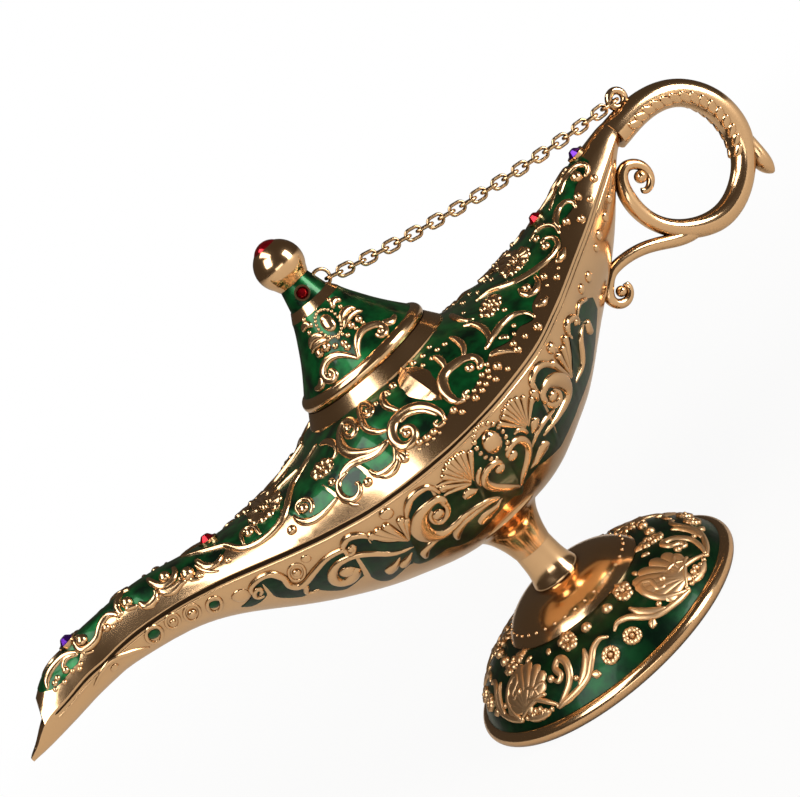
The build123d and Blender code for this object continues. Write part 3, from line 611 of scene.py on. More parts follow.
# The deck's beads and its boss: small balls that edge the ornament, and a bold ridged almond in
# the middle of it. Both are cast with the deck and polished.
deck_beads = [
    (-3.2, 61.6, 0.75), (-1.2, 61.1, 0.75), (0.7, 61.0, 0.7), (-4.2, 60.4, 0.35), (-2.2, 60.0, 0.35),
    (-0.3, 59.9, 0.35), (1.6, 59.9, 0.35), (7.2, 61.3, 0.75), (8.4, 59.7, 0.6), (12.8, 59.8, 0.7),
    (15.0, 60.0, 0.6), (16.6, 60.4, 0.55), (18.2, 61.0, 0.5), (13.6, 61.2, 0.5), (15.6, 61.6, 0.55),
    (17.2, 62.5, 0.6), (18.9, 62.2, 0.6), (19.6, 63.4, 0.6), (7.5, 74.9, 0.75), (8.8, 73.1, 0.55),
    (11.4, 72.8, 0.6), (13.5, 73.4, 0.6), (15.6, 73.1, 0.6), (10.2, 74.6, 0.6), (12.6, 75.0, 0.55),
    (-4.6, 74.2, 0.6), (0.8, 74.4, 0.85), (-17.4, 63.2, 0.95), (-17.2, 72.6, 0.55), (-23.1, 68.6, 0.9),
    (-36.4, 67.4, 1.0), (-34.1, 67.9, 0.45), (-50.6, 72.3, 0.65), (-56.9, 74.0, 0.55), (-60.4, 76.6, 0.5),
    (-67.0, 76.9, 0.55), (-57.1, 74.1, 0.5), (-94.2, 78.1, 0.5), (-93.4, 79.1, 0.6), (-91.9, 77.9, 0.5),
    (-92.3, 79.5, 0.6), (-90.0, 79.5, 0.75), (-89.2, 78.4, 0.5), (-87.9, 77.7, 0.5), (-87.1, 78.3, 0.5),
    (-75.2, 79.4, 0.55), (-77.2, 79.2, 0.5), (42.7, 68.5, 0.8), (44.9, 66.4, 0.7), (27.3, 62.5, 0.7),
    (27.2, 60.9, 0.8), (30.5, 61.9, 0.6), (34.1, 61.4, 0.9), (28.9, 64.0, 0.45), (30.1, 65.3, 0.5),
    (30.9, 69.3, 0.6), (42.0, 66.6, 0.4), (46.6, 67.6, 0.4), (19.0, 59.6, 0.6), (21.2, 61.4, 0.9),
    (22.6, 59.4, 0.55), (24.6, 77.0, 0.6), (27.2, 77.3, 0.6), (23.4, 75.2, 0.5), (31.8, 77.0, 0.6),
]
deck_bead_work = Relief(deck, both_sides)
deck_bead_work.beads(deck_beads)
deck_bead_work.piece("deck_beads", relief_gold, "root")
boss_line = [(4.7, 75.9), (5.0, 73.2), (5.6, 69.8), (6.2, 67.0), (6.9, 64.7)]
boss_widths = [0.2, 3.0, 4.2, 4.5, 3.9, 2.3, 0.2]
boss_height, boss_sunk = 0.8, 0.1
boss = Relief(deck, both_sides)
boss.band(boss_line, boss_widths, boss_height, Relief.ridged_section, boss_sunk, rounded=False)
boss.piece("deck_boss", polished_gold, "root", smooth=False)

# The handle's feathers: a row of short slanting strokes along the bar, from its root over the top
# of the ring and down its outer bend. They are cast with the handle and polished with it.
grip = Casting("handle")
feather_arc = [
    (82.2, 78.9), (85.6, 79.3), (88.9, 78.9), (91.9, 77.8), (94.7, 76.4), (97.0, 74.4), (98.6, 71.8),
    (99.5, 69.0), (99.8, 65.9), (99.5, 62.8), (98.7, 60.2), (97.5, 58.1),
]
feather_count = 15
feather_step = 0.1
feather_shape = [(1.5, -0.9), (0, 0), (-1.3, 1.6)]
feather_widths, feather_height = [0.5, 1.4, 1.4, 0.3], 0.5
feathers = Relief(grip, both_sides)
feather_line = smooth_line(feather_arc, feather_step)
for k in range(feather_count):
    i = int((len(feather_line) - 3) * k / (feather_count - 1))
    (x, z), (dx, dz) = feather_line[i], unit(feather_line[i + 2] - feather_line[i])
    stroke = [(x - dz * out + dx * on, z + dx * out + dz * on) for out, on in feather_shape]
    feathers.band(stroke, feather_widths, feather_height)
feathers.piece("handle_feathers", polished_gold, "root")

# The hull's enamel beds, one on each side, lie under the plain gold band that follows the seam.
# Their leafy lower edge stays clear of the keel.
hull = Casting("lower_shell")
hull_top = [
    (-55.3, 63.2), (-53.8, 63.1), (-52.4, 63.2), (-51.4, 64.2), (-49.8, 64.8), (-47.6, 64.5), (-46, 63.6),
    (-45.2, 62), (-44.7, 60.6), (-44.4, 59.2), (-43.4, 57.9), (-41.7, 57.5), (-38.9, 57.8), (-35.4, 57.9),
    (-32.5, 57.2), (-31.0, 56.6), (-30.2, 57.1), (-29, 57.5), (-27.1, 56.6), (-25.6, 55), (-25.0, 53.4),
    (-23.6, 51.2), (-21.6, 49.4), (-19.6, 48.1), (-18.6, 48.5), (-17.6, 50.2), (-16.4, 51.9), (-14.6, 53.2),
    (-12.8, 54.0), (-10.6, 53.9), (-8.8, 53.2), (-7.9, 51.9), (-7.2, 50.0), (-5.4, 49.2), (-2.8, 48.0),
    (-0.5, 47.2), (0.6, 48.4), (2.4, 50.8), (3.9, 52.0), (5.0, 52.6), (8.8, 53.0), (12.4, 52.4),
    (13.6, 51.8), (15.4, 49.6), (17.0, 47.4), (18.6, 48.4), (20.8, 49.4), (23.2, 50.0), (23.8, 51.6),
    (24.5, 53.2), (26.3, 54.6), (28.6, 54.8), (29.9, 53.8), (30.8, 51.6), (31.5, 49.2), (32.3, 47.9),
    (34.4, 49.8), (36.3, 52.2), (37.8, 54.4), (38.6, 56), (39.8, 57.4), (41.6, 57.3), (42.8, 57),
    (44.8, 58.4), (47, 58.0), (48.2, 57.4),
]
hull_foot = [
    (-55.3, 63.2), (-53.5, 61.7), (-51.3, 61), (-48.9, 61), (-48.4, 59.3), (-46.6, 57.3), (-44.4, 55.5),
    (-43.1, 55), (-41.2, 54.3), (-39.4, 52.3), (-37, 50.2), (-34.8, 49.5), (-31.0, 49.0), (-30.6, 47.2),
    (-29.6, 45.5), (-27.4, 44.2), (-22.6, 43.7), (-21, 42.3), (-18.8, 41.3), (-14, 40.2), (-12, 38.9),
    (-9, 37.9), (-5, 37.6), (0, 37.9), (4, 38.0), (6.2, 37.2), (8, 38.2), (12, 38.9), (16, 39.2),
    (20, 39.9), (24, 41.2), (28, 42.8), (30, 43.8), (34, 45.6), (38, 47.8), (42, 51.0), (46, 54.8),
    (48.2, 57.0),
]
hull_step = 0.5
hull_rows = 30
edge_search, edge_search_step = 6, 0.15
keel_from, keel_ease = 8 * mm, 8 * mm
keel_reach, enamel_edge = 2.4 * mm, 0.5 * mm
least_enamel = 0.05 * mm
under_hull, beside_hull = -10 * mm, -60 * mm
straight_up, straight_across = Vector((0, 0, 1)), Vector((0, 1, 0))


def foot_hit(x, z):
    """Where a drawn point of the lower edge lies, or the nearest one over it that is seen."""
    for up in np.arange(0, edge_search, edge_search_step):
        hit = hull.seen(x, z + up)
        if hit:
            return hit
    return None


def sloping(points, find):
    """The x and z of an edge's places on the hull, from the spout to the tail."""
    hits = [find(x, z) for x, z in smooth_line(points, hull_step)]
    return np.array(sorted((h[0].x, h[0].z) for h in hits if h))


top_line, foot_line = sloping(hull_top, hull.seen), sloping(hull_foot, foot_hit)
hull_places = []
for x in np.arange(top_line[0, 0], top_line[-1, 0], hull_step * mm):
    high = np.interp(x, top_line[:, 0], top_line[:, 1])
    low = min(np.interp(x, foot_line[:, 0], foot_line[:, 1]), high - least_enamel)
    keel = hull.meet(Vector((x, 0, under_hull)), straight_up)
    if x > keel_from and keel:
        low = max(low - keel_reach * min(1, (x - keel_from) / keel_ease), keel[0].z + enamel_edge)
    row = []
    for z in np.linspace(low, high, hull_rows):
        hit = hull.meet(Vector((x, beside_hull, z)), straight_across)
        row.append(hit[0] if hit else row[-1] if row else Vector((x, 0, z)))
    hull_places.append(row)
hull_grid = enamel_grid(hull_places, 1)
for side, name in ((1, "hull_enamel_front"), (-1, "hull_enamel_back")):
    bed(name, hull_grid * np.array([1, side, 1]), dark_enamel)

# The hull's leaf scrolls, fans and heart: the same round bands as the deck's, a little higher.
# They are cast in one piece with the hull and stand over its enamel.
hull_scroll_height = 0.7
hull_scrolls = [
    ([(-8.3, 48.8), (-8.1, 47.3), (-9.2, 45.9), (-11.2, 45.6), (-12.4, 46.6), (-12.4, 48.2), (-11.2, 48.9)],
     [0.9, 0.9, 0.8, 0.6]),
    ([(-7.9, 47.8), (-8.1, 49.2), (-9.1, 50.0), (-11.1, 50.2), (-13.4, 50.0), (-15.2, 48.9), (-16.0, 47.4),
      (-15.8, 45.7), (-14.6, 44.3), (-12.8, 43.3), (-9.7, 42.9), (-6.6, 43.0), (-3.2, 42.3), (-0.3, 41.5),
      (1.7, 40.4)], [1.0, 1.3, 2.0, 2.6, 2.4, 1.8, 1.2, 0.9, 0.8, 0.4]),
    ([(-11.1, 40.1), (-10.6, 41.2), (-8.3, 41.9), (-4.9, 41.8), (-0.9, 41.2), (2, 40.1)],
     [0.6, 1.5, 1.0, 0.9, 0.5]),
    ([(-19.1, 42.3), (-18.3, 43.6), (-15.4, 43.7), (-13.1, 42.8)], [0.6, 1.4, 1.0, 0.5]),
    ([(-16.8, 51.4), (-14.6, 53.3), (-12.8, 54.1), (-10.6, 54), (-8.6, 53.3), (-7.7, 51.9), (-7.3, 50.2)],
     middling),
    ([(-7.4, 49.4), (-5.4, 49), (-2.6, 47.8), (-0.6, 46.8)], fine),
    ([(-7.4, 52.0), (-4.4, 51.0), (-1.6, 48.8), (-0.5, 47.0)], fine),
    ([(7.1, 38.6), (4, 41.2), (2.3, 43), (1.7, 44.7), (2.5, 46.1), (4.5, 46.7), (6.6, 46.4), (7.4, 45.2)],
     [0.5, 0.9, 1.1, 1.2, 1.2, 1.1, 0.7]),
    ([(7.1, 38.6), (9.7, 40.4), (12.5, 42), (14.2, 43.6), (14.5, 45.3), (13.6, 46.5), (11.9, 46.8),
      (10.0, 46.2), (9.2, 45.2)], [0.5, 0.9, 1.1, 1.2, 1.2, 1.1, 0.7]),
    ([(0.5, 44.9), (0.8, 46.4), (2, 47.5), (3.4, 47.9)], fine),
    ([(13.6, 48.0), (15.2, 48.0), (16.1, 47.0), (16.2, 45.8)], fine),
    ([(-51.0, 62.2), (-49.9, 62.4), (-49.9, 63.4), (-51.0, 63.6), (-51.7, 62.9), (-51.2, 61.9),
      (-50.0, 61.4)], fine),
    ([(-51.6, 63.2), (-51.4, 64.5), (-49.8, 65.0), (-47.6, 64.7), (-46, 63.8), (-45.0, 62.2), (-44.6, 61),
      (-44.8, 59.4), (-43.7, 57.8), (-41.7, 57.3), (-38.9, 57.6), (-35.4, 57.8), (-32.5, 57.1),
      (-31.0, 56.3), (-31.2, 55.2), (-30.1, 54.6), (-29.1, 55.2), (-29.4, 56.2)],
     [0.6, 0.9, 1.0, 1.0, 1.1, 1.0, 0.9, 0.8, 0.6]),
    ([(-43.4, 57.2), (-42.3, 56.5), (-43.2, 55.6), (-42.2, 54.6), (-40.6, 54.0)], [0.8, 0.8, 0.7, 0.4]),
    ([(-31.2, 56.1), (-30.6, 57.2), (-29, 57.7), (-27.1, 56.8), (-25.5, 55), (-24.9, 53.3)], middling),
    ([(-19.0, 46.0), (-21.6, 46.9), (-24.3, 48.6), (-26.9, 51.2), (-29.6, 53.5), (-32, 54.7), (-34.4, 55.2),
      (-36.3, 54.5), (-37, 53.2), (-36.4, 51.8), (-34.8, 50.8), (-32.9, 50.9), (-32, 51.9)],
     [0.4, 0.8, 0.9, 1.0, 1.2, 1.6, 1.8, 1.4]),
    ([(24.0, 47.9), (24.2, 49.4), (25.4, 50.5), (27.7, 50.8), (29.7, 49.5), (30.3, 47.6), (29.2, 45.8),
      (26.7, 44.6), (23.2, 43.8), (18.4, 43)], [0.9, 1.4, 2.0, 2.3, 2.0, 1.4, 0.9, 0.5]),
    ([(24.0, 47.9), (24.8, 46.4), (26.6, 46.3), (27.7, 47.5), (27.2, 49.0)], middling),
    ([(23.9, 51.6), (24.4, 53.3), (26.3, 54.7), (28.6, 54.9), (30.1, 53.8), (30.9, 51.9)], middling),
    ([(43.6, 54.9), (42.8, 53.4), (42.4, 51.7)], [1.2, 1.8, 0.4]),
    ([(38.2, 54.6), (38.5, 56), (39.8, 57.5), (41.6, 57.4), (42.2, 56.1), (41.4, 55.2)], middling),
    ([(32, 46.3), (35.5, 48), (37.4, 49.8), (39.9, 53), (42.5, 54.8)], [0.4, 0.9, 1.0, 0.9, 0.5]),
    ([(42.4, 56.6), (42.9, 57.2), (44.8, 58.6), (47, 58.1)], fine),
    ([(-88.3, 72.9), (-86.5, 73.7), (-84.4, 74.3), (-82.5, 74.4), (-80.5, 73.9), (-78.8, 73.1),
      (-76.6, 71.9), (-74.6, 70.6)], [0.3, 0.6, 0.8, 0.7, 0.4]),
    ([(14.5, 42.9), (17.8, 44.6), (21.2, 45.4), (24.6, 45.5)], [0.4, 0.9, 0.9, 0.4]),
]
hull_fans = [
    ((-0.3, 46.7), [(-6.9, 51.4), (-4.6, 53), (-3.4, 53.8), (-2, 54.3), (-0.6, 54.4), (1.1, 54.2),
                    (2.5, 53.7), (4.1, 52.6)], 1.5),
    ((17.2, 46.7), [(12.5, 52.4), (14.2, 53.1), (15.4, 53.9), (16.8, 54.3), (18.2, 54.4), (19.6, 53.9),
                    (21.1, 53), (22.6, 51.4)], 1.4),
    ((-19.3, 47.6), [(-25.3, 55.3), (-23.4, 54.9), (-21.2, 54.3), (-17.5, 52.9), (-16.6, 52.0)], 1.9),
    ((32.2, 47.6), [(30.8, 53.8), (33.2, 54.2), (35.2, 54.8), (37.4, 56.1)], 1.7),
]
hull_drops = [((23.3, 52.3), (23.0, 48.6), 1.0), ((-4.2, 46.3), (0, 44.9), 1.6),
              ((20.2, 47.4), (16.5, 45), 1.4), ((-27.3, 45.9), (-23.0, 46.5), 1.5),
              ((-24.3, 44.8), (-20.2, 45.4), 1.3),
              ((-5.4, 39.3), (2.6, 39.6), 1.9), ((18.5, 41.6), (11.1, 39.6), 1.9)]
hull_balls = [
    (-10.7, 47.4, 1.3, 1.0), (6.3, 44.9, 1.2, 1.0), (10.3, 44.9, 1.2, 1.0), (-33.7, 52.4, 1.7, 0.8),
    (26.0, 48.0, 1.2, 1.0), (-19.1, 55.4, 1.4, 0.8), (33.2, 55.9, 1.2, 0.9), (-53.6, 64.9, 1.9, 0.7),
    (-63.5, 69.7, 0.9, 0.9), (-67.6, 71.3, 0.6, 0.7), (-41.8, 60.1, 0.9, 0.8), (-38.4, 60.8, 1.0, 0.5),
    (-29.9, 55.5, 0.8, 0.7), (41.4, 56.2, 0.8, 0.7), (47.5, 60.6, 1.1, 0.7), (50.6, 61.4, 1.2, 0.7),
    (58.8, 66.6, 1.1, 0.7), (62.8, 68.6, 1.1, 0.7), (66.2, 70.9, 1.0, 0.7), (56.4, 64.9, 0.9, 0.6),
    (-82.6, 72.8, 0.9, 0.5),
]
ringed_balls = [(-63.5, 69.7, 1.7), (-67.6, 71.3, 1.5), (-41.8, 60.1, 1.8)]
ring_width, ring_height = 0.45, 0.7
leaves = Relief(hull, both_sides)
leaves.bands(hull_scrolls, hull_scroll_height)
for base, tips, width in hull_fans:
    leaves.fan(base, tips, width)
for head, tip, width in hull_drops:
    leaves.drop(head, tip, width)
leaves.beads(hull_balls)
for x, z, radius in ringed_balls:
    leaves.ring(x, z, radius, ring_width, ring_height)
leaves.piece("hull_scrolls", relief_gold, "root")

# The two lines that run along the hull from the lip to the handle: a dark strip at the seam that is a
# painted reflection of the dark the ridge reflects, and a fine raised line just under it.
seam_from, seam_to, seam_step = -98.0, 72.0, 1.0
seam_over, seam_under, seam_search_step = 88.0, 60.0, 0.2
seam_beside = -60
seam_rounds = 6
seam_height = 0.2
seam_drop, seam_widths = 1.75, [0.32]
dark_line_drop, dark_line_widths = 0.65, [0.3, 0.6, 0.7, 0.7, 0.6, 0.35, 0.2, 0.15, 0.15]
# painted reflection: this dark gold strip stands in for the dark that the ridge reflects
painted_dark_reflection = (0.035, 0.020, 0.010)
dark_reflection_gold = gold_finish("dark_reflection_gold", painted_dark_reflection, 0.3)


def below_seam(drop):
    """Places along the hull's side at a drop under its upper edge, and its directions there."""
    places, normals = [], []
    for x in np.arange(seam_from, seam_to, seam_step):
        for z in np.arange(seam_over, seam_under, -seam_search_step):
            if hull.meet(Vector((x, seam_beside, z)) * mm, straight_across):
                hit = hull.meet(Vector((x, seam_beside, z - drop)) * mm, straight_across)
                if hit:
                    places.append(hit[0])
                    normals.append(hit[1])
                break
    return evened(np.array(places), seam_rounds), unit(evened(np.array(normals), seam_rounds))


for name, drop, widths, finish in (("hull_seam_line", seam_drop, seam_widths, polished_gold),
                                   ("hull_painted_dark_line", dark_line_drop, dark_line_widths, dark_reflection_gold)):
    seam = Relief(hull, both_sides)
    seam.band_over(*below_seam(drop), widths, seam_height)
    seam.piece(name, finish, "root")

# The oval medallion between the two fans: a high smooth dome in an open ring of beads, cast with
# the hull and polished bright.
medallion_middle, medallion_top = (8.8, 50.5), (8.8, 53.5)
medallion_radii, medallion_height = (3.2, 2.3), 2.1
medallion_beads, medallion_bead = 17, 0.55
bead_ring_middle, bead_ring_radii = (8.8, 50.6), (3.5, 4.2)
first_bead_turn, bead_ring_sweep = -62, 304
medallion = Relief(hull, both_sides)
medallion.oval(medallion_middle, medallion_top, medallion_radii, medallion_height)
for k in range(medallion_beads):
    turn = math.radians(first_bead_turn + bead_ring_sweep * k / (medallion_beads - 1))
    medallion.bead(bead_ring_middle[0] + bead_ring_radii[0] * math.cos(turn),
                   bead_ring_middle[1] + bead_ring_radii[1] * math.sin(turn), medallion_bead)
medallion.piece("hull_medallion", polished_gold, "root")

# The two round bosses under the spout: each is a gold ring, cast with the hull, round a low eye
# of green enamel.
boss_ring_share, boss_ring_width, boss_ring_height = 0.86, 0.55, 0.75
boss_eye_share, boss_eye_height = 0.72, 0.5
for name, x, z, radius in (("spout_boss_outer", -72.2, 72.0, 2.0), ("spout_boss_inner", -59.0, 67.6, 1.8)):
    boss_ring = Relief(hull, both_sides)
    boss_ring.ring(x, z, radius * boss_ring_share, boss_ring_width, boss_ring_height)
    boss_ring.piece(name, relief_gold, "root")
    boss_eye = Relief(hull, both_sides)
    boss_eye.dome_at(*hull.seen(x, z), (1, 0, 0), (radius * boss_eye_share,) * 2, boss_eye_height)
    boss_eye.piece(name + "_eye", green_enamel, "root")

# The lid: a green enamelled cone under a gold band, then a green neck with a red stone on its
# front and its back, and the polished ball. The cone carries the same relief on its front and
# its back, and is plain under the chain.
dress(["lid_cone", "lid_neck"], green_enamel)


def turned_copy(degrees):
    return np.array(Matrix.Rotation(math.radians(degrees), 3, "Z"))


lid_scroll_height = 0.55
curl_widths = [0.5, 0.8, 1.1, 1.2, 1.1, 0.9, 0.7]
lid_scrolls = [
    ([(-0.6, 83.9), (-1.8, 85.8), (-3.4, 87.6), (-5.4, 88.4), (-7.3, 88.1), (-8.8, 86.9), (-9.0, 85.4),
      (-8.0, 84.4), (-6.8, 84.9), (-6.7, 86.0), (-7.6, 86.5)], curl_widths),
    ([(-0.6, 83.9), (0.4, 85.7), (1.9, 87.2), (3.8, 87.9), (5.8, 87.5), (7.6, 86.4), (8.1, 85.0),
      (7.3, 83.9), (6.0, 84.4), (5.8, 85.5)], curl_widths),
    ([(-9.2, 86.6), (-10.3, 85.7), (-11.3, 85.3), (-12.4, 85.9)], [1.1, 1.3, 0.9, 0.3]),
    ([(8.2, 86.2), (9.4, 85.3), (10.6, 84.9), (11.8, 85.6)], [1.1, 1.3, 0.9, 0.3]),
    ([(-2.6, 92.3), (-4.0, 93.6), (-5.6, 93.9), (-7.2, 92.6)], [0.4, 1.1, 1.1, 0.4]),
    ([(-2.2, 91.2), (-4.2, 92.2), (-6.2, 92.4), (-7.6, 91.6)], [0.4, 1.0, 1.0, 0.4]),
    ([(1.4, 92.2), (3.0, 93.3), (4.8, 93.4), (6.3, 92.2)], [0.4, 1.1, 1.1, 0.4]),
    ([(1.2, 91.0), (3.2, 91.9), (5.2, 91.9), (7.0, 90.9)], [0.4, 1.0, 1.0, 0.4]),
    ([(-5.7, 96.1), (-4.9, 97.1), (-3.9, 96.9), (-3.6, 95.8)], middling),
    ([(4.9, 95.5), (4.1, 96.7), (3.1, 96.6), (2.5, 95.5)], middling),
]
lid_balls = [
    (-7.6, 85.5, 0.8), (6.9, 84.9, 0.8), (-6.2, 90.6, 1.0), (-4.3, 90.6, 1.0), (-2.7, 89.5, 0.65),
    (2.9, 90.3, 0.8), (5.0, 90.2, 0.8), (0.9, 89.3, 0.55), (3.3, 89.2, 0.5), (5.2, 89.1, 0.5),
    (-0.9, 88.6, 0.75), (-0.9, 87.5, 0.75), (-4.0, 98.2, 0.5), (-5.0, 95.4, 0.5), (3.0, 97.6, 0.5),
    (3.9, 94.9, 0.5), (-0.6, 98.2, 0.45), (9.8, 84.6, 0.45), (-1.0, 90.4, 0.4), (0.2, 90.3, 0.4),
]
lid_oval_middle, lid_oval_top = (-0.5, 94.2), (-0.5, 96.0)
lid_oval_radii, lid_oval_height = (2.3, 1.5), 0.9
lid_ring_middle, lid_ring_radii = (-0.5, 94.1), (2.5, 3.3)
lid_ring_beads, lid_ring_bead = 22, 0.36
cone = Casting("lid_cone")
lid_work = Relief(cone, [turned_copy(a) for a in (0, 180)])
lid_work.bands(lid_scrolls, lid_scroll_height)
lid_work.oval(lid_oval_middle, lid_oval_top, lid_oval_radii, lid_oval_height)
for k in range(lid_ring_beads):
    turn = 2 * math.pi * k / lid_ring_beads
    lid_work.bead(lid_ring_middle[0] + lid_ring_radii[0] * math.sin(turn),
                  lid_ring_middle[1] + lid_ring_radii[1] * math.cos(turn), lid_ring_bead)
lid_work.beads(lid_balls)
lid_work.piece("lid_relief", relief_gold, "lid")

# The foot: a dark green enamelled skirt in a rolled gold rim. Its scrolls and rosettes are drawn
# on one half of a quarter and repeat by mirror and quarter turns. Between them stand four
# palmettes, one to a quarter.
dress(["foot_skirt"], dark_enamel)


def mirrored_at(degrees):
    """The mirror in the upright plane at this turn about the lamp's axis."""
    turn = turned_copy(degrees)
    return turn @ np.diag([1, -1, 1]) @ turn.T


skirt = Casting("foot_skirt", "foot_dome", "foot_rim")
facing = math.degrees(eye_turn) - 90
quarter_turns = [turned_copy(90 * k) for k in range(4)]
half_quarters = []
for quarter_turn in quarter_turns:
    half_quarters += [quarter_turn, quarter_turn @ mirrored_at(facing)]
foot_scroll_height = 0.5
foot_scrolls = [
    ([(-16.6, 1.9), (-16.0, 0.6), (-14.6, 1.4), (-14.7, 3.4), (-12.6, 4.4), (-11.9, 2.6), (-13.6, -0.6),
      (-16.6, -2.4), (-19.6, -3.4)], [0.5, 0.9, 1.0, 1.1, 1.1, 1.0, 0.8, 0.5]),
    ([(-20.2, -3.6), (-15.2, -4.0), (-10.6, -3.6), (-7.6, -1.6), (-5.2, 0.2), (-2.6, 0.6), (-0.8, -0.6)],
     [0.5, 0.9, 0.9, 0.9, 1.0, 0.9, 0.4]),
    ([(-13.6, -3.8), (-10.6, -2.4), (-8.2, -0.4), (-6.8, 1.9)], [0.5, 1.2, 1.2, 0.4]),
    ([(-9.6, -3.7), (-8.6, -4.6), (-7.8, -5.6)], [0.5, 1.2, 0.5]),
    ([(-26.6, -0.3), (-24.6, -1.9), (-23.2, -2.0), (-22.9, -0.8)], middling),
    ([(-27.6, 0.9), (-24.2, 1.5), (-21.0, 1.4), (-20.0, 0.6)], fine),
    ([(-18.4, 2.6), (-19.6, 3.4), (-21.6, 3.2), (-23.2, 2.2)], fine),
]
foot_balls = [
    (-22.6, -1.9, 0.6), (-21.2, -2.7, 0.55), (-19.8, -3.2, 0.5), (-23.2, -0.8, 0.7), (-12.6, -1.8, 0.6),
    (-16.9, 2.3, 0.8),
]
foot_work = Relief(skirt, half_quarters)
foot_work.bands(foot_scrolls, foot_scroll_height)
foot_work.flower(-8.4, 5.6, 4.4, 4.6, 8, 0.6)
foot_work.flower(-3.3, -4.0, 4.8, 4.4, 10, 0.6)
foot_work.bead(-3.2, 4.6, 1.15)
foot_work.oval((-13.2, 7.2), (-12.6, 8.2), (1.1, 0.7), 0.6)
foot_work.beads(foot_balls)
foot_work.piece("foot_relief", satin_gold, "root")
palmette_base, rib_width, rib_height = (-25.6, 1.2), 3.1, 0.32
palmette_tips = [(-28.6, 4.4), (-26.8, 6.6), (-24.6, 8.4), (-22.4, 9.6), (-20.4, 9.9), (-18.4, 9.0),
                 (-17.0, 7.2), (-16.8, 5.0), (-18.2, 3.2)]
palmettes = Relief(skirt, quarter_turns)
palmettes.fan(palmette_base, palmette_tips, rib_width, rib_height)
palmettes.oval((-24.4, 2.6), (-22.2, 6.0), (3.0, 1.7), 0.5)
palmettes.piece("foot_palmettes", satin_gold, "root")

# The dome's beads: a ring of small balls that is cast round the edge of the foot's gold dome and
# polished with it.
dome_bead_count, dome_bead_size, dome_bead_height = 36, 0.42, 0.45
dome_ring_radius, high_over_dome = 16.0 * mm, 30 * mm
dome = Casting("foot_dome")
dome_hit = dome.meet(Vector((dome_ring_radius, 0, high_over_dome)), straight_down)
dome_beads = Relief(dome, [turned_copy(360 * k / dome_bead_count) for k in range(dome_bead_count)])
dome_beads.dome_at(*dome_hit, (0, 1, 0), (dome_bead_size,) * 2, dome_bead_height)
dome_beads.piece("foot_dome_beads", relief_gold, "root")


# The stones: glass, foil-backed, red on the knob, the neck and the deck, and purple at the two
# ends of the deck. Each is held in a gold bezel.
def stone_finish(name, colour):
    """Cut glass with painted glints: its colour goes at random between a dark and a bright share of it."""
    spark_scale, dark_share, bright_share, spark_roughness = 900, 0.45, 1.7, 0.05
    stone = Finish(name)
    painted_sparkle = grain(stone, spark_scale, 0.0)
    # painted glints: bright and dark patches in the colour stand in for the sparkle of the cut facets
    tone = stone.between(painted_sparkle, opaque(colour, dark_share), opaque(colour, bright_share))
    return stone.finish(Base_Color=tone, Metallic=0.85, Roughness=0.12 + spark_roughness * painted_sparkle,
                        Coat_Weight=0.15, Coat_Roughness=0.02, IOR=1.55)


red_glass = (0.40, 0.004, 0.012)
purple_glass = (0.085, 0.012, 0.26)
dress(["knob_gem", "neck_gems", "spout_gem", "tail_gem"], stone_finish("red_stone", red_glass))
dress(["spout_tip_gem", "tail_tip_gem"], stone_finish("purple_stone", purple_glass))

# The chain: soldered links of fine wire from the eyelet on the tail to the ring through the lid's
# neck. Its gold is a little darker and rougher than the castings'.
darker_chain_gold = (0.72, 0.47, 0.25)
chain_gold = gold_finish("chain_gold", darker_chain_gold, 0.2)
dress(["chain_jump_ring", "chain_links", "lid_chain_ring"], chain_gold)


# The fastener: a zinc plated bolt through the hull, the stem and the foot, with a rubber seal in
# the hull, and a nut on a steel washer under the foot's dome.
def steel_finish():
    cloud_scale, dull_steel, bright_steel = 500, (0.50, 0.50, 0.52, 1), (0.68, 0.68, 0.70, 1)
    steel = Finish("zinc_plate")
    cloud = grain(steel, cloud_scale)
    return steel.finish(Base_Color=steel.between(cloud, dull_steel, bright_steel), Metallic=1.0,
                        Roughness=0.28 + 0.12 * cloud)


def rubber_finish():
    cloud_scale, black_rubber, worn_rubber = 800, (0.012, 0.012, 0.012, 1), (0.03, 0.03, 0.03, 1)
    rubber = Finish("seal_rubber")
    cloud = grain(rubber, cloud_scale)
    return rubber.finish(Base_Color=rubber.between(cloud, black_rubber, worn_rubber),
                         Roughness=0.7 + 0.1 * cloud)


dress(["tie_bolt", "foot_washer", "foot_nut"], steel_finish())
dress(["bolt_washer"], rubber_finish())


# The studio: a floor that is white to the eye, keeps the lamp's shadow and runs into the white
# beyond. In the gold it is warm grey paper in dark surroundings, lit by four soft boxes.
def to_the_eye(nodes):
    """A mask that is 1 for what the eye sees itself, and 0 in reflections and for light."""
    return nodes.mask("ShaderNodeLightPath", None, None, "Is Camera Ray")


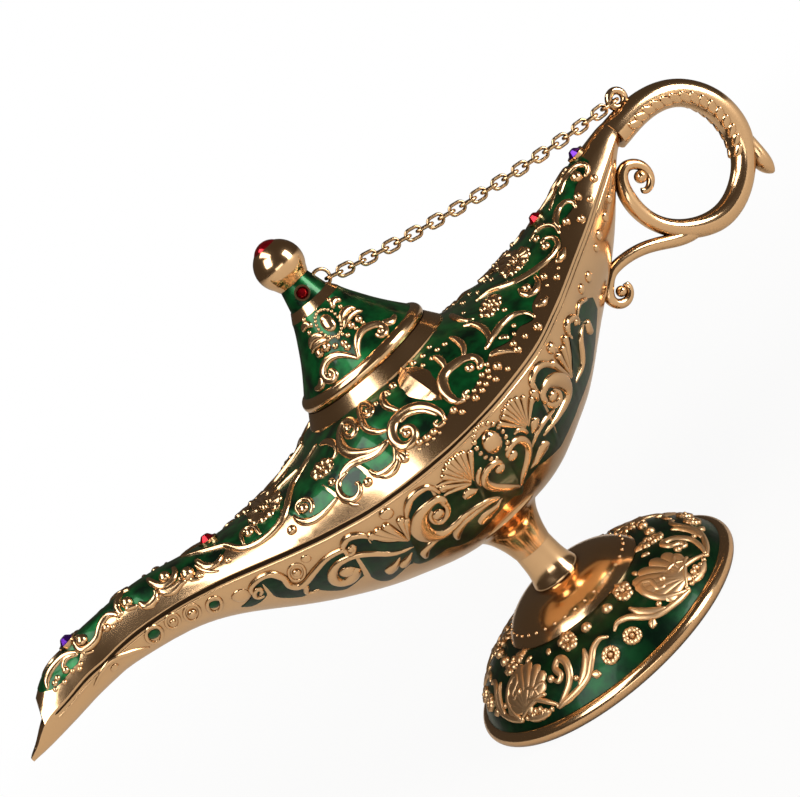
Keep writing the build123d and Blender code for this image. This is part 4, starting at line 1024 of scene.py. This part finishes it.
def floor_finish():
    """Paper that glows white to the eye, all but the little that lets the shadow show."""
    dark_paper, pale_paper, white = (0.60, 0.56, 0.50, 1), (0.64, 0.60, 0.54, 1), (1, 1, 1, 1)
    cloud_scale, shadow_reach, white_from, glow_near = 3, 0.10, 0.45, 0.93
    paper = Finish("floor_paper")
    cloud = grain(paper, cloud_scale)
    paper.finish(Base_Color=paper.between(cloud, dark_paper, pale_paper), Roughness=0.9)
    place = paper.node("ShaderNodeTexCoord").outputs["Object"]
    away = paper.mask("ShaderNodeVectorMath", {"operation": "LENGTH"}, {0: place}, "Value")
    glow = paper.stretched(away, shadow_reach, white_from, glow_near)
    lit = paper.node("ShaderNodeEmission", None, {"Color": white, "Strength": 1.0}).outputs[0]
    both = paper.node("ShaderNodeMixShader", None,
                      {0: to_the_eye(paper) * glow, 1: paper.surface.outputs[0], 2: lit})
    paper.set(paper.tree.nodes["Material Output"].inputs["Surface"], both.outputs[0])
    return paper.material


floor_reach = 6.0
floor_corners = [(-floor_reach, -floor_reach, 0), (floor_reach, -floor_reach, 0),
                 (floor_reach, floor_reach, 0), (-floor_reach, floor_reach, 0)]
floor_mesh = bpy.data.meshes.new("floor")
floor_mesh.from_pydata(floor_corners, [], [[0, 1, 2, 3]])
floor_mesh.materials.append(floor_finish())
floor = bpy.data.objects.new("floor", floor_mesh)
bpy.context.scene.collection.objects.link(floor)

dark_room, white_room = (0.060, 0.050, 0.040, 1), (1, 1, 1, 1)
world = bpy.data.worlds.new("studio")
bpy.context.scene.world = world
world.use_nodes = True
sky = Nodes(world.node_tree)
sky.set(sky.tree.nodes["Background"].inputs["Color"], sky.between(to_the_eye(sky), dark_room, white_room))


def soft_box(name, place, target, size, power):
    """A lit panel that faces a target, with its size in metres and its power in watts."""
    lamp = bpy.data.lights.new(name, "AREA")
    lamp.shape = "RECTANGLE"
    lamp.size, lamp.size_y = size
    lamp.energy = power
    made = bpy.data.objects.new(name, lamp)
    made.location = place
    made.rotation_mode = "QUATERNION"
    made.rotation_quaternion = (Vector(target) - Vector(place)).to_track_quat("-Z", "Y")
    bpy.context.scene.collection.objects.link(made)


lamp_middle, foot_side = (0, 0, 0.06), (0.1, -0.05, 0.03)
soft_box("key", (-0.85, -0.65, 1.05), lamp_middle, (0.8, 0.9), 13)
soft_box("fill", (0.95, -0.80, 0.38), foot_side, (0.5, 0.7), 14)
soft_box("overhead", (-0.24, -0.02, 1.04), lamp_middle, (0.90, 0.26), 3.6)
soft_box("low", (-0.35, -1.2, 0.10), lamp_middle, (0.9, 0.12), 1.2)
bpy.context.scene.view_settings.view_transform = "Standard"
